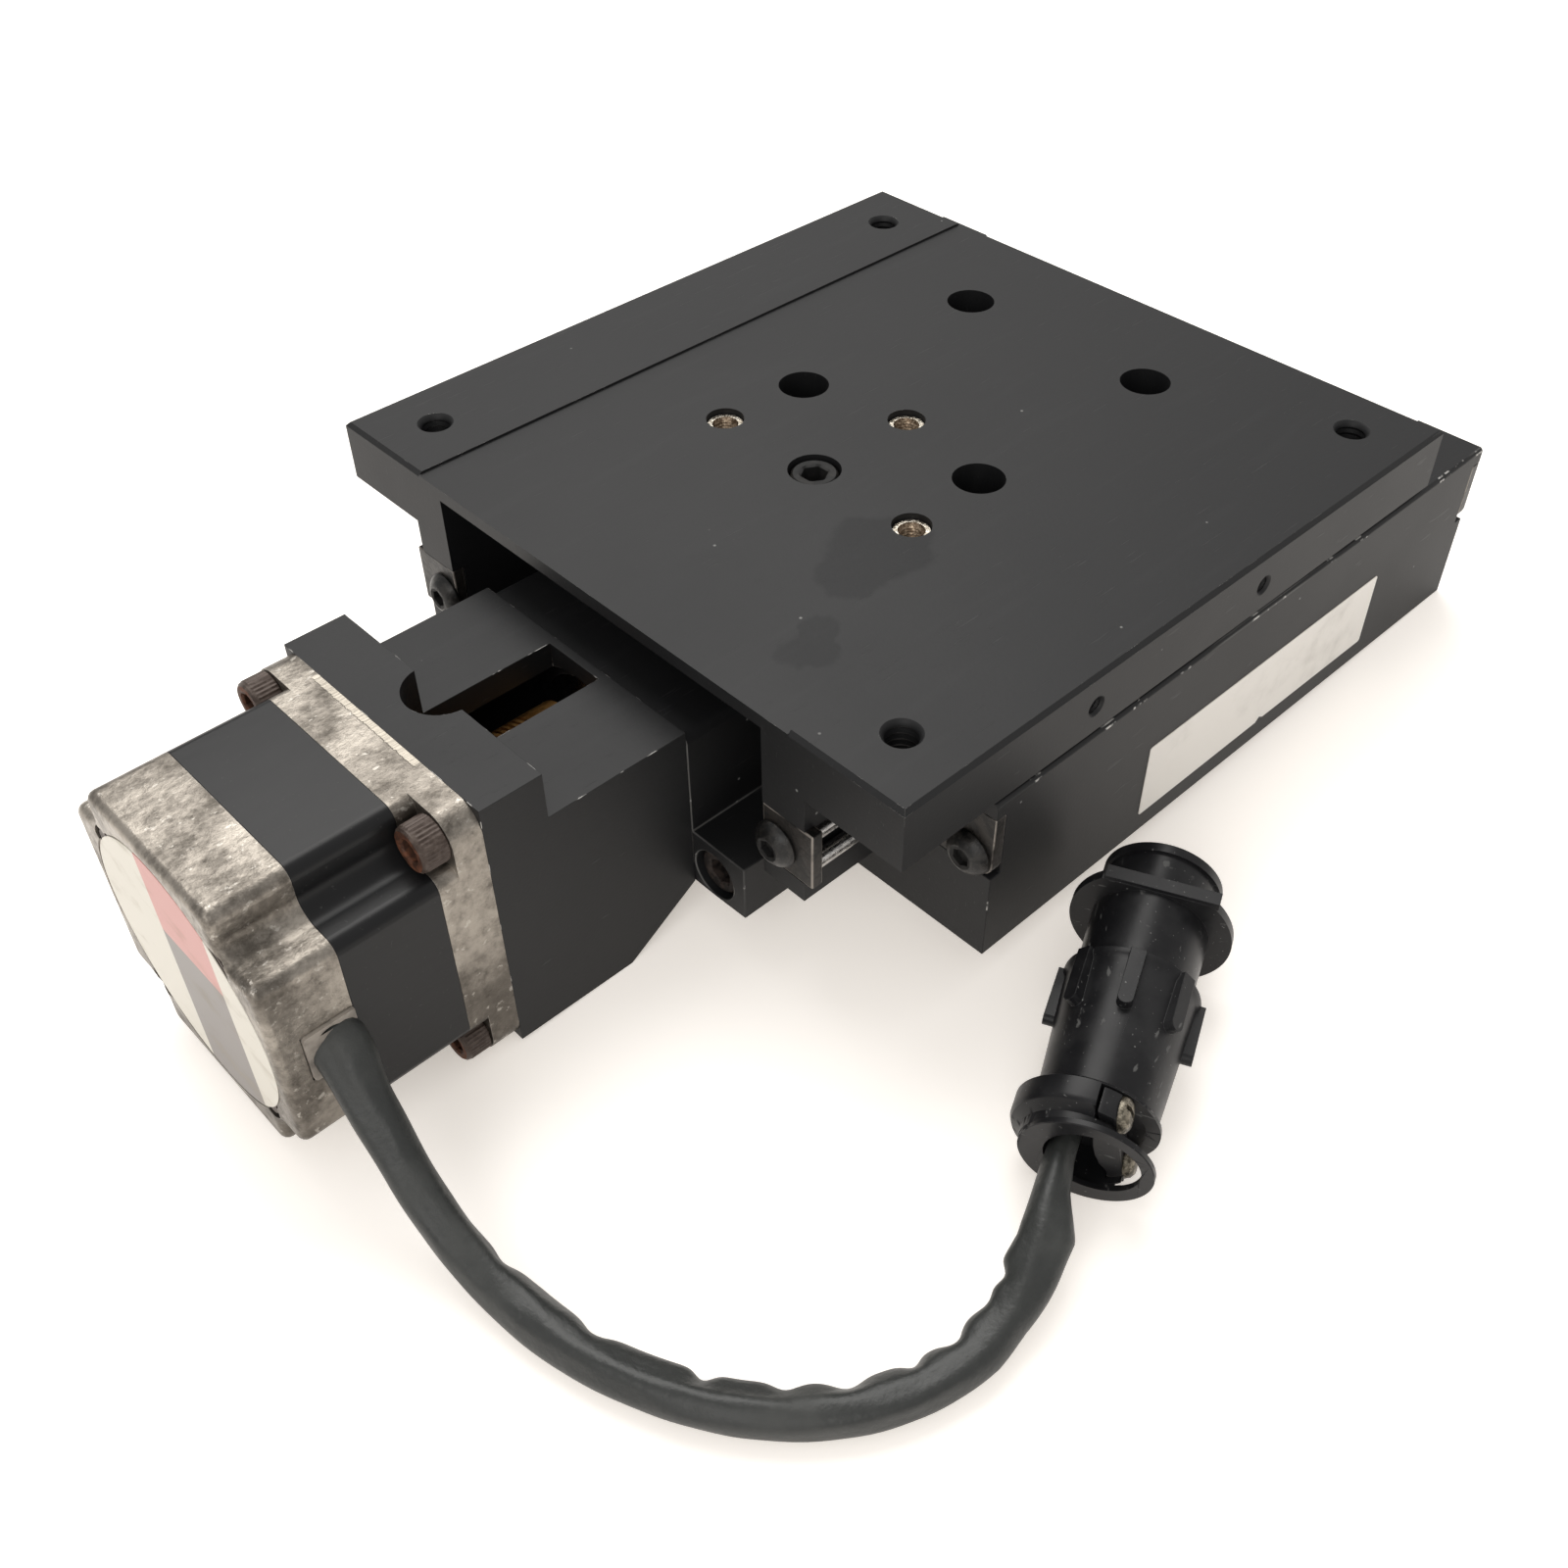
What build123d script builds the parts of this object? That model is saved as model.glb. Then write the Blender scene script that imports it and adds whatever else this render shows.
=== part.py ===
"""Motorised linear translation stage: a carriage on ball slides, driven by a screw and a stepping motor.

Frame: X is the travel, pointing away from the motor; Y is across; Z is up. The origin is the centre of
the footprint, at the height of the motor's lowest side. All sizes are millimetres.
"""

from build123d import *
from math import cos, pi, radians, sin, tan
import os

os.makedirs("parts", exist_ok=True)

# ---- Driving dimensions -------------------------------------------------------------------------------

stage_size = 152.4  # length and width of both the carriage and the base
stage_height = 50.8  # underside of the base to the top of the pads
motor_size = 56.4  # square flange of a frame 23 motor
drive_height = motor_size / 2  # the screw and motor axis
table_top = 60.3  # top of the raised pads
base_bottom = table_top - stage_height

# the line of parts along X, from the motor's back to the base's far end
rear_cap_length = 14.0
stator_length = 18.3
bracket_length = 9.2
housing_length = 41.1
block_length = 25.1
overhang = 22.7  # how far the carriage stands ahead of the base where it is parked
motor_length = rear_cap_length + stator_length + bracket_length
x_motor_rear = -(motor_length + housing_length + block_length + stage_size) / 2
x_stator = x_motor_rear + rear_cap_length
x_bracket = x_stator + stator_length
x_motor_face = x_bracket + bracket_length
x_block = x_motor_face + housing_length
x_base = x_block + block_length
x_base_end = x_base + stage_size
x_carriage = x_base - overhang
x_carriage_end = x_carriage + stage_size

# ball slide: rods lie in channels in the carriage legs and in the base walls, with balls between them
rod_radius = 1.59
ball_radius = 3.175
slide_height = 34.9
rod_offset = 3.55  # from the ball's centre to each rod's centre, across and up
channel_depth = 2.0
leg_inner = 44.5
leg_outer = 54.6
leg_bottom = 23.8
leg_rod_y = leg_outer - channel_depth + rod_radius
ball_y = leg_rod_y + rod_offset
wall_rod_y = ball_y + rod_offset
wall_inner = wall_rod_y + rod_radius - channel_depth
half_width = stage_size / 2
rod_reach = rod_offset + rod_radius
cap_thickness = 2.5
ball_count = 5
ball_pitch = 25.0

# base
floor_top = 23.2
wall_top = 46.3
trough_half_width = 16.0
trough_floor = 15.6

# carriage
pad_width = 25.4
pad_step = 0.5
pad_thickness = 12.7
edge_break = 1.0
boss_underside = 48.3
pocket_ceiling = 57.1
pocket_length = 20.0

# quarter-inch socket screws
quarter_head_radius = 4.76
quarter_head_height = 6.35
quarter_radius = 3.175
quarter_hex = 4.76


def across(x):
    """The plane square to the travel at x, with its own X along the stage's Y."""
    return Plane.YZ.offset(x)


def facing(outward, x, y, z):
    """The plane at a point of a face that looks along +X (outward is 1) or -X (outward is -1)."""
    return Plane((x, y, z), z_dir=(outward, 0, 0))


def socket_screws(planes, radius, length, head_radius, head_height, hex_size, taper=0):
    """Cap screws on planes that lie under their heads and look out of them; a taper makes button heads."""
    with BuildPart() as screws:
        with BuildSketch(*planes):
            Circle(radius)
        extrude(amount=-length)
        with BuildSketch(*planes):
            Circle(head_radius)
        extrude(amount=head_height, taper=taper)
        with BuildSketch(*[plane.offset(head_height) for plane in planes]):
            RegularPolygon(hex_size / 2, 6, major_radius=False)
        extrude(amount=-0.55 * head_height, mode=Mode.SUBTRACT)
    return screws


# ---- Base channel -------------------------------------------------------------------------------------
# A deep U milled from one bar: a thick floor with a trough for the screw, and two walls with rod channels.

mount_hole_x = 50.8
mount_hole_y = 47.6
base_centre_x = (x_base + x_base_end) / 2
base_cap_bottom = 28.8
base_cap_top = 42.8
base_cap_inner = 59.2
foot_screw_y = 33.7
foot_screw_z = 15.9
base_button_y = 71.2
base_button_z = 32.3
button_head_radius = 4.6
button_head_height = 2.6
button_radius = 2.4
button_length = 12.0
button_hex = 3.2
button_taper = 28
base_cap_y = (base_cap_inner + half_width) / 2
base_cap_z = (base_cap_bottom + base_cap_top) / 2
base_cap_width = half_width - base_cap_inner
base_cap_height = base_cap_top - base_cap_bottom
rear_block_length = 16.0
rear_screw_y = 20.0
rear_screw_x = x_base_end - rear_block_length + 8.0
m4_radius = 2.0
m4_head_radius = 3.5
m4_head_height = 4.0
m4_hex = 3.0

with BuildPart() as base_channel:
    with BuildSketch(across(x_base)):
        with BuildLine():
            Polyline(
                (-half_width, base_bottom),
                (half_width, base_bottom),
                (half_width, wall_top),
                (wall_inner, wall_top),
                (wall_inner, floor_top),
                (trough_half_width, floor_top),
                (trough_half_width, trough_floor),
                (-trough_half_width, trough_floor),
                (-trough_half_width, floor_top),
                (-wall_inner, floor_top),
                (-wall_inner, wall_top),
                (-half_width, wall_top),
                close=True,
            )
        make_face()
        with Locations((wall_inner, slide_height), (-wall_inner, slide_height)):
            Rectangle(2 * channel_depth, 2 * rod_reach, mode=Mode.SUBTRACT)
    extrude(amount=stage_size)
    top_edges = base_channel.edges().filter_by(Axis.X).group_by(Axis.Z)[-1]
    chamfer([top_edges.sort_by(Axis.Y)[0], top_edges.sort_by(Axis.Y)[-1]], length=0.8)
    # seats for the end caps, open to the outside of the walls
    for end in (x_base, x_base_end - cap_thickness):
        with BuildSketch(across(end)):
            with Locations((-base_cap_y, base_cap_z), (base_cap_y, base_cap_z)):
                Rectangle(base_cap_width, base_cap_height)
        extrude(amount=cap_thickness, mode=Mode.SUBTRACT)
    # tapped holes behind the caps' button screws, and for the screws of both bearing blocks
    for side in (-1, 1):
        with Locations(
            facing(-1, x_base + cap_thickness, side * base_button_y, base_button_z),
            facing(1, x_base_end - cap_thickness, side * base_button_y, base_button_z),
        ):
            Hole(button_radius, depth=button_length)
        with Locations(facing(-1, x_base, side * foot_screw_y, foot_screw_z)):
            Hole(quarter_radius, depth=16.5)
        with Locations((rear_screw_x, side * rear_screw_y, floor_top)):
            Hole(m4_radius, depth=9.0)
    # four counterbored holes that bolt the stage down, reached through the carriage
    with Locations(Plane((base_centre_x, 0, floor_top))):
        with GridLocations(mount_hole_x, mount_hole_y, 2, 2):
            CounterBoreHole(3.4, 5.6, 7.2)
base_channel.part.label = "base_channel"
export_step(base_channel.part, "parts/base_channel.step")

base_screw_planes = []
for end, x_cap, x_outer, outward in (
    ("front", x_base, x_base, -1),
    ("rear", x_base_end - cap_thickness, x_base_end, 1),
):
    for side_name, side in (("right", -1), ("left", 1)):
        screw_plane = facing(outward, x_outer, side * base_button_y, base_button_z)
        with BuildPart() as base_cap:
            with BuildSketch(across(x_cap)) as cap_outline:
                with Locations((side * base_cap_y, base_cap_z)):
                    Rectangle(base_cap_width, base_cap_height)
                lower_corners = cap_outline.vertices().group_by(Axis.Y)[0]
                fillet(lower_corners.sort_by(Axis.X)[0 if side < 0 else -1], radius=3.0)
            extrude(amount=cap_thickness)
            with Locations(screw_plane):
                Hole(button_radius + 0.1, depth=cap_thickness)
        base_cap.part.label = f"base_end_cap_{end}_{side_name}"
        export_step(base_cap.part, f"parts/base_end_cap_{end}_{side_name}.step")
        base_screw_planes.append(screw_plane)

base_cap_screws = socket_screws(
    base_screw_planes,
    button_radius,
    button_length,
    button_head_radius,
    button_head_height,
    button_hex,
    button_taper,
)
base_cap_screws.part.label = "base_end_cap_screws"
export_step(base_cap_screws.part, "parts/base_end_cap_screws.step")

# ---- Slide rods, balls and cages ----------------------------------------------------------------------
# Two ground rods in each channel; the balls roll between four rods and are spaced by a thin bronze cage.

rod_length = stage_size - 2 * cap_thickness
cage_length = 116.0
cage_thickness = 1.2
cage_height = 11.0
cage_centre_x = (x_base + x_carriage + stage_size) / 2

for side_name, side in (("right", -1), ("left", 1)):
    for owner, start, rod_y in (("base", x_base, wall_rod_y), ("carriage", x_carriage, leg_rod_y)):
        with BuildPart() as slide_rods:
            with BuildSketch(across(start + cap_thickness)):
                with Locations((side * rod_y, slide_height)):
                    with GridLocations(0, 2 * rod_offset, 1, 2):
                        Circle(rod_radius)
            extrude(amount=rod_length)
        slide_rods.part.label = f"{owner}_slide_rods_{side_name}"
        export_step(slide_rods.part, f"parts/{owner}_slide_rods_{side_name}.step")

    cage_plane = Plane((cage_centre_x, side * ball_y, slide_height), x_dir=(1, 0, 0), z_dir=(0, -1, 0))
    with BuildPart() as ball_cage:
        with BuildSketch(cage_plane.offset(-cage_thickness / 2)):
            RectangleRounded(cage_length, cage_height, 1.5)
            with GridLocations(ball_pitch, 0, ball_count, 1):
                Circle(ball_radius + 0.05, mode=Mode.SUBTRACT)
        extrude(amount=cage_thickness)
    ball_cage.part.label = f"ball_cage_{side_name}"
    export_step(ball_cage.part, f"parts/ball_cage_{side_name}.step")

    with BuildPart() as balls:
        with Locations(cage_plane):
            with GridLocations(ball_pitch, 0, ball_count, 1):
                Sphere(ball_radius)
    balls.part.label = f"slide_balls_{side_name}"
    export_step(balls.part, f"parts/slide_balls_{side_name}.step")

# ---- Carriage table -----------------------------------------------------------------------------------
# An inverted U with raised side pads that overhang the base walls; its two legs carry the rods.

corner_inset = 12.7
corner_mouth_radius = 3.55
access_radius = 5.15
access_x = (75.4, 126.2)  # from the front edge
insert_radius = 3.8
insert_bore_radius = 2.1
insert_sink = 2.4
insert_places = ((55.3, 25.4), (80.7, 0), (55.3, -25.4))
bracket_screw_x = x_carriage + 55.3
bracket_screw_sink = 7.05
side_hole_x = (46.4, 94.1)
side_hole_z = table_top - 7.0
side_hole_radius = 1.9
leg_cap_bottom = 28.1
leg_cap_top = 40.5
leg_cap_outer = 56.5
leg_button_y = 48.0
leg_button_z = 33.3
leg_cap_y = (leg_inner + leg_cap_outer) / 2
leg_cap_z = (leg_cap_bottom + leg_cap_top) / 2
leg_cap_width = leg_cap_outer - leg_inner
leg_cap_height = leg_cap_top - leg_cap_bottom
carriage_centre_x = (x_carriage + x_carriage_end) / 2
centre_top = table_top - pad_step

with BuildPart() as carriage_table:
    with BuildSketch(across(x_carriage)):
        with BuildLine():
            Polyline(
                (0, centre_top),
                (half_width - pad_width, centre_top),
                (half_width - pad_width, table_top),
                (half_width - edge_break, table_top),
                (half_width, table_top - edge_break),
                (half_width, table_top - pad_thickness),
                (leg_outer, table_top - pad_thickness),
                (leg_outer, slide_height + rod_reach),
                (leg_outer - channel_depth, slide_height + rod_reach),
                (leg_outer - channel_depth, slide_height - rod_reach),
                (leg_outer, slide_height - rod_reach),
                (leg_outer, leg_bottom),
                (leg_inner, leg_bottom),
                (leg_inner, boss_underside),
                (0, boss_underside),
                close=True,
            )
        make_face()
        mirror(about=Plane.YZ)
    extrude(amount=stage_size)
    # the pads' end edges are broken like their long ones
    for pad_start in (half_width - pad_width, -half_width):
        with BuildSketch(Plane.XZ.offset(-pad_start - pad_width)):
            for end, inward in ((x_carriage, 1), (x_carriage_end, -1)):
                with BuildLine():
                    Polyline(
                        (end, table_top - edge_break),
                        (end, table_top),
                        (end + inward * edge_break, table_top),
                        close=True,
                    )
                make_face()
        extrude(amount=pad_width, mode=Mode.SUBTRACT)
    # thin-web pockets at both ends of the underside
    with BuildSketch(Plane.XY.offset(boss_underside)):
        for pocket_x in (x_carriage + pocket_length / 2, x_carriage_end - pocket_length / 2):
            with Locations((pocket_x, 0)):
                Rectangle(pocket_length, 2 * leg_inner)
    extrude(amount=pocket_ceiling - boss_underside, mode=Mode.SUBTRACT)
    # seats for the leg end caps
    for end in (x_carriage, x_carriage_end - cap_thickness):
        with BuildSketch(across(end)):
            with Locations((-leg_cap_y, leg_cap_z), (leg_cap_y, leg_cap_z)):
                Rectangle(leg_cap_width, leg_cap_height)
        extrude(amount=cap_thickness, mode=Mode.SUBTRACT)
    for side in (-1, 1):
        with Locations(
            facing(-1, x_carriage + cap_thickness, side * leg_button_y, leg_button_z),
            facing(1, x_carriage_end - cap_thickness, side * leg_button_y, leg_button_z),
        ):
            Hole(button_radius, depth=button_length)
    # tapped corner holes for the load
    with Locations(Plane((carriage_centre_x, 0, table_top))):
        with GridLocations(stage_size - 2 * corner_inset, stage_size - 2 * corner_inset, 2, 2):
            CounterSinkHole(quarter_radius, corner_mouth_radius, depth=pad_thickness)
    # plain holes that give access to the screws in the base
    for x in access_x:
        with Locations((x_carriage + x, 0, centre_top)):
            with GridLocations(0, mount_hole_y, 1, 2):
                Hole(access_radius)
    with Locations(*[(x_carriage + x, y, centre_top) for x, y in insert_places]):
        Hole(insert_radius)
    with Locations((bracket_screw_x, 0, centre_top)):
        CounterBoreHole(quarter_radius + 0.15, 5.2, bracket_screw_sink)
    # two small tapped holes in the right flank
    for x in side_hole_x:
        with Locations(Plane((x_carriage + x, -half_width, side_hole_z), z_dir=(0, -1, 0))):
            Hole(side_hole_radius, depth=10.0)
carriage_table.part.label = "carriage_table"
export_step(carriage_table.part, "parts/carriage_table.step")

leg_screw_planes = []
for end, x_cap, x_outer, outward in (
    ("front", x_carriage, x_carriage, -1),
    ("rear", x_carriage_end - cap_thickness, x_carriage_end, 1),
):
    for side_name, side in (("right", -1), ("left", 1)):
        screw_plane = facing(outward, x_outer, side * leg_button_y, leg_button_z)
        with BuildPart() as leg_cap:
            with BuildSketch(across(x_cap)):
                with Locations((side * leg_cap_y, leg_cap_z)):
                    Rectangle(leg_cap_width, leg_cap_height)
            extrude(amount=cap_thickness)
            chamfer(leg_cap.faces().sort_by(Axis.X)[0 if outward < 0 else -1].edges(), length=0.4)
            with Locations(screw_plane):
                Hole(button_radius + 0.1, depth=cap_thickness)
        leg_cap.part.label = f"carriage_end_cap_{end}_{side_name}"
        export_step(leg_cap.part, f"parts/carriage_end_cap_{end}_{side_name}.step")
        leg_screw_planes.append(screw_plane)

leg_cap_screws = socket_screws(
    leg_screw_planes,
    button_radius,
    button_length,
    button_head_radius,
    button_head_height,
    button_hex,
    button_taper,
)
leg_cap_screws.part.label = "carriage_end_cap_screws"
export_step(leg_cap_screws.part, "parts/carriage_end_cap_screws.step")

with BuildPart() as threaded_inserts:
    with BuildSketch(Plane.XY.offset(boss_underside)):
        with Locations(*[(x_carriage + x, y) for x, y in insert_places]):
            Circle(insert_radius)
            Circle(insert_bore_radius, mode=Mode.SUBTRACT)
    extrude(amount=centre_top - insert_sink - boss_underside)
threaded_inserts.part.label = "threaded_inserts"
export_step(threaded_inserts.part, "parts/threaded_inserts.step")

# ---- Lead screw, nut and its bracket ------------------------------------------------------------------
# A ground screw turned down at both ends for its bearings, and a bronze flange nut in a hanging bracket.

screw_radius = 4.8
screw_journal_radius = 4.0
coupling_journal_radius = 3.175
rear_journal_radius = 3.0
running_gap = 0.05
bearing_depth = 14.0
retainer_thickness = 3.0
x_front_bearing = x_block + retainer_thickness
x_screw_shoulder = x_front_bearing + bearing_depth
x_screw_tip = -61.0
x_rear_block = x_base_end - rear_block_length
x_rear_journal = x_rear_block - 2.0
x_screw_end = x_base_end - 3.0

with BuildPart() as lead_screw:
    for start, stop, radius in (
        (x_screw_tip, x_block, coupling_journal_radius),
        (x_block, x_screw_shoulder, screw_journal_radius),
        (x_screw_shoulder, x_rear_journal, screw_radius),
        (x_rear_journal, x_screw_end, rear_journal_radius),
    ):
        with BuildSketch(across(start)):
            with Locations((0, drive_height)):
                Circle(radius)
        extrude(amount=stop - start)
    chamfer(lead_screw.faces().sort_by(Axis.X)[0].edges(), length=0.6)
    chamfer(lead_screw.faces().sort_by(Axis.X)[-1].edges(), length=0.6)
lead_screw.part.label = "lead_screw"
export_step(lead_screw.part, "parts/lead_screw.step")

with BuildPart() as bearing_lock_nut:
    with BuildSketch(across(x_block + 0.2)):
        with Locations((0, drive_height)):
            RegularPolygon(5.6, 6)
            Circle(screw_journal_radius, mode=Mode.SUBTRACT)
    extrude(amount=retainer_thickness - 0.4)
bearing_lock_nut.part.label = "bearing_lock_nut"
export_step(bearing_lock_nut.part, "parts/bearing_lock_nut.step")

bracket_length_x = 20.0
bracket_half_width = 14.0
bracket_bottom = 17.2
nut_radius = 8.0
nut_flange_radius = 11.5
nut_flange_thickness = 4.0
nut_screw_circle = 9.8
x_nut_bracket = bracket_screw_x - bracket_length_x / 2

with BuildPart() as nut_bracket:
    with BuildSketch(across(x_nut_bracket)) as bracket_outline:
        with Locations((0, (bracket_bottom + boss_underside) / 2)):
            Rectangle(2 * bracket_half_width, boss_underside - bracket_bottom)
        chamfer(bracket_outline.vertices().group_by(Axis.Y)[0], length=3.0)
        with Locations((0, drive_height)):
            Circle(nut_radius, mode=Mode.SUBTRACT)
            with PolarLocations(nut_screw_circle, 4, start_angle=45):
                Circle(1.0, mode=Mode.SUBTRACT)
    extrude(amount=bracket_length_x)
    with Locations((bracket_screw_x, 0, boss_underside)):
        Hole(quarter_radius, depth=11.5)
nut_bracket.part.label = "nut_bracket"
export_step(nut_bracket.part, "parts/nut_bracket.step")

with BuildPart() as lead_nut:
    for start, length, radius in (
        (x_nut_bracket - nut_flange_thickness, nut_flange_thickness, nut_flange_radius),
        (x_nut_bracket, bracket_length_x + 3.0, nut_radius),
    ):
        with BuildSketch(across(start)):
            with Locations((0, drive_height)):
                Circle(radius)
        extrude(amount=length)
    with BuildSketch(across(x_nut_bracket - nut_flange_thickness)):
        with Locations((0, drive_height)):
            Circle(screw_radius + running_gap)
    extrude(amount=nut_flange_thickness + bracket_length_x + 3.0, mode=Mode.SUBTRACT)
    with BuildSketch(across(x_nut_bracket - nut_flange_thickness)):
        with Locations((0, drive_height)):
            with PolarLocations(nut_screw_circle, 4, start_angle=45):
                Circle(1.0)
    extrude(amount=nut_flange_thickness, mode=Mode.SUBTRACT)
lead_nut.part.label = "lead_nut"
export_step(lead_nut.part, "parts/lead_nut.step")

nut_screw_planes = [
    facing(
        -1,
        x_nut_bracket - nut_flange_thickness,
        nut_screw_circle * cos(radians(angle)),
        drive_height + nut_screw_circle * sin(radians(angle)),
    )
    for angle in (45, 135, 225, 315)
]
nut_screws = socket_screws(nut_screw_planes, 1.0, 11.0, 1.7, 1.6, 1.5)
nut_screws.part.label = "nut_screws"
export_step(nut_screws.part, "parts/nut_screws.step")

bracket_screw_seat = Plane((bracket_screw_x, 0, centre_top - bracket_screw_sink))
bracket_screw = socket_screws(
    [bracket_screw_seat], quarter_radius, 15.0, quarter_head_radius, quarter_head_height, quarter_hex
)
bracket_screw.part.label = "nut_bracket_screw"
export_step(bracket_screw.part, "parts/nut_bracket_screw.step")

# ---- Front bearing block ------------------------------------------------------------------------------
# A wide foot bolted to the base's front edge, with an upright that holds the screw's bearing pair.

foot_half_width = 41.8
foot_bottom = 10.7
upright_top = 45.8
bearing_radius = 11.0
retainer_radius = 12.5
housing_screw_y = 21.0
housing_screw_z = 13.0
housing_half_width = motor_size / 2
housing_screw_places = [
    (sy * housing_screw_y, drive_height + sz * housing_screw_z) for sy in (-1, 1) for sz in (-1, 1)
]

with BuildPart() as bearing_block:
    with BuildSketch(across(x_block)) as block_outline:
        with Locations((0, (foot_bottom + floor_top) / 2)):
            Rectangle(2 * foot_half_width, floor_top - foot_bottom)
        with Locations((0, (floor_top + upright_top) / 2)):
            Rectangle(2 * housing_half_width, upright_top - floor_top)
    extrude(amount=block_length)
    fillet(bearing_block.edges().filter_by(Axis.X).group_by(Axis.Z)[-1], radius=2.0)
    with Locations(facing(-1, x_block, 0, drive_height)):
        CounterBoreHole(screw_radius + 1.2, retainer_radius, retainer_thickness)
        Hole(bearing_radius, depth=retainer_thickness + bearing_depth)
    with Locations(*[facing(-1, x_block, side * foot_screw_y, foot_screw_z) for side in (-1, 1)]):
        CounterBoreHole(quarter_radius + 0.1, 5.1, quarter_head_height + 1.2)
    with Locations(*[facing(-1, x_block, y, z) for y, z in housing_screw_places]):
        Hole(m4_radius, depth=12.5)
bearing_block.part.label = "front_bearing_block"
export_step(bearing_block.part, "parts/front_bearing_block.step")

foot_screw_planes = [
    facing(-1, x_block + quarter_head_height + 1.2, side * foot_screw_y, foot_screw_z) for side in (-1, 1)
]
foot_screws = socket_screws(
    foot_screw_planes, quarter_radius, 33.0, quarter_head_radius, quarter_head_height, quarter_hex
)
foot_screws.part.label = "bearing_block_screws"
export_step(foot_screws.part, "parts/bearing_block_screws.step")

with BuildPart() as bearing_retainer:
    with BuildSketch(across(x_block)):
        with Locations((0, drive_height)):
            Circle(retainer_radius)
            Circle(7.0, mode=Mode.SUBTRACT)
    extrude(amount=retainer_thickness)
    with Locations(facing(-1, x_block, 0, drive_height)):
        with PolarLocations(9.8, 2):
            Hole(0.9, depth=1.8)
bearing_retainer.part.label = "bearing_retainer"
export_step(bearing_retainer.part, "parts/bearing_retainer.step")

with BuildPart() as front_bearings:
    for x_race in (x_front_bearing, x_front_bearing + bearing_depth / 2 + 0.1):
        with BuildSketch(across(x_race)):
            with Locations((0, drive_height)):
                Circle(bearing_radius)
                Circle(screw_journal_radius + running_gap, mode=Mode.SUBTRACT)
        extrude(amount=bearing_depth / 2 - 0.1)
front_bearings.part.label = "front_screw_bearings"
export_step(front_bearings.part, "parts/front_screw_bearings.step")

# ---- Rear bearing block -------------------------------------------------------------------------------
# A small block keyed into the trough, with a plain journal bearing for the screw's far end.

rear_block_half_width = 24.0
rear_block_top = 44.0
rear_bearing_radius = 8.0
rear_bearing_width = 5.0
x_rear_bearing = x_rear_block + 5.0

with BuildPart() as rear_block:
    with BuildSketch(across(x_rear_block)) as rear_outline:
        with Locations((0, (floor_top + rear_block_top) / 2)):
            Rectangle(2 * rear_block_half_width, rear_block_top - floor_top)
        fillet(rear_outline.vertices().group_by(Axis.Y)[-1], radius=6.0)
        with Locations((0, (trough_floor + floor_top) / 2)):
            Rectangle(2 * trough_half_width, floor_top - trough_floor)
    extrude(amount=rear_block_length)
    with Locations(facing(1, x_base_end, 0, drive_height)):
        Hole(screw_radius + 0.6)
        Hole(rear_bearing_radius, depth=x_base_end - x_rear_bearing)
    with Locations(*[(rear_screw_x, side * rear_screw_y, rear_block_top) for side in (-1, 1)]):
        CounterBoreHole(m4_radius + 0.1, m4_head_radius + 0.2, rear_block_top - floor_top - 8.0)
rear_block.part.label = "rear_bearing_block"
export_step(rear_block.part, "parts/rear_bearing_block.step")

with BuildPart() as rear_bearing:
    with BuildSketch(across(x_rear_bearing)):
        with Locations((0, drive_height)):
            Circle(rear_bearing_radius)
            Circle(rear_journal_radius + running_gap, mode=Mode.SUBTRACT)
    extrude(amount=rear_bearing_width)
rear_bearing.part.label = "rear_screw_bearing"
export_step(rear_bearing.part, "parts/rear_screw_bearing.step")

rear_screw_planes = [Plane((rear_screw_x, side * rear_screw_y, floor_top + 8.0)) for side in (-1, 1)]
rear_block_screws = socket_screws(
    rear_screw_planes, m4_radius, 16.0, m4_head_radius, m4_head_height, m4_hex
)
rear_block_screws.part.label = "rear_block_screws"
export_step(rear_block_screws.part, "parts/rear_block_screws.step")

# ---- Coupling housing ---------------------------------------------------------------------------------
# A black block with a tall motor flange, a sloping underside and a window over the coupling.

flange_length = 12.1
flange_top = table_top - 3.9
deck_top = 46.9
slope_start = 16.0  # from the far end
slope_rise = 10.3
tunnel_radius = 15.0
pilot_radius = 19.05
pilot_depth = 1.8
window_half_width = 6.9
window_near = x_motor_face + 6.0
window_far = x_block - 1.8
motor_screw_offset = 47.14 / 2
m5_radius = 2.5
m5_head_radius = 4.25
m5_head_height = 5.0
m5_hex = 4.0
motor_screw_places = [
    (sy * motor_screw_offset, drive_height + sz * motor_screw_offset) for sy in (-1, 1) for sz in (-1, 1)
]

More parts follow.
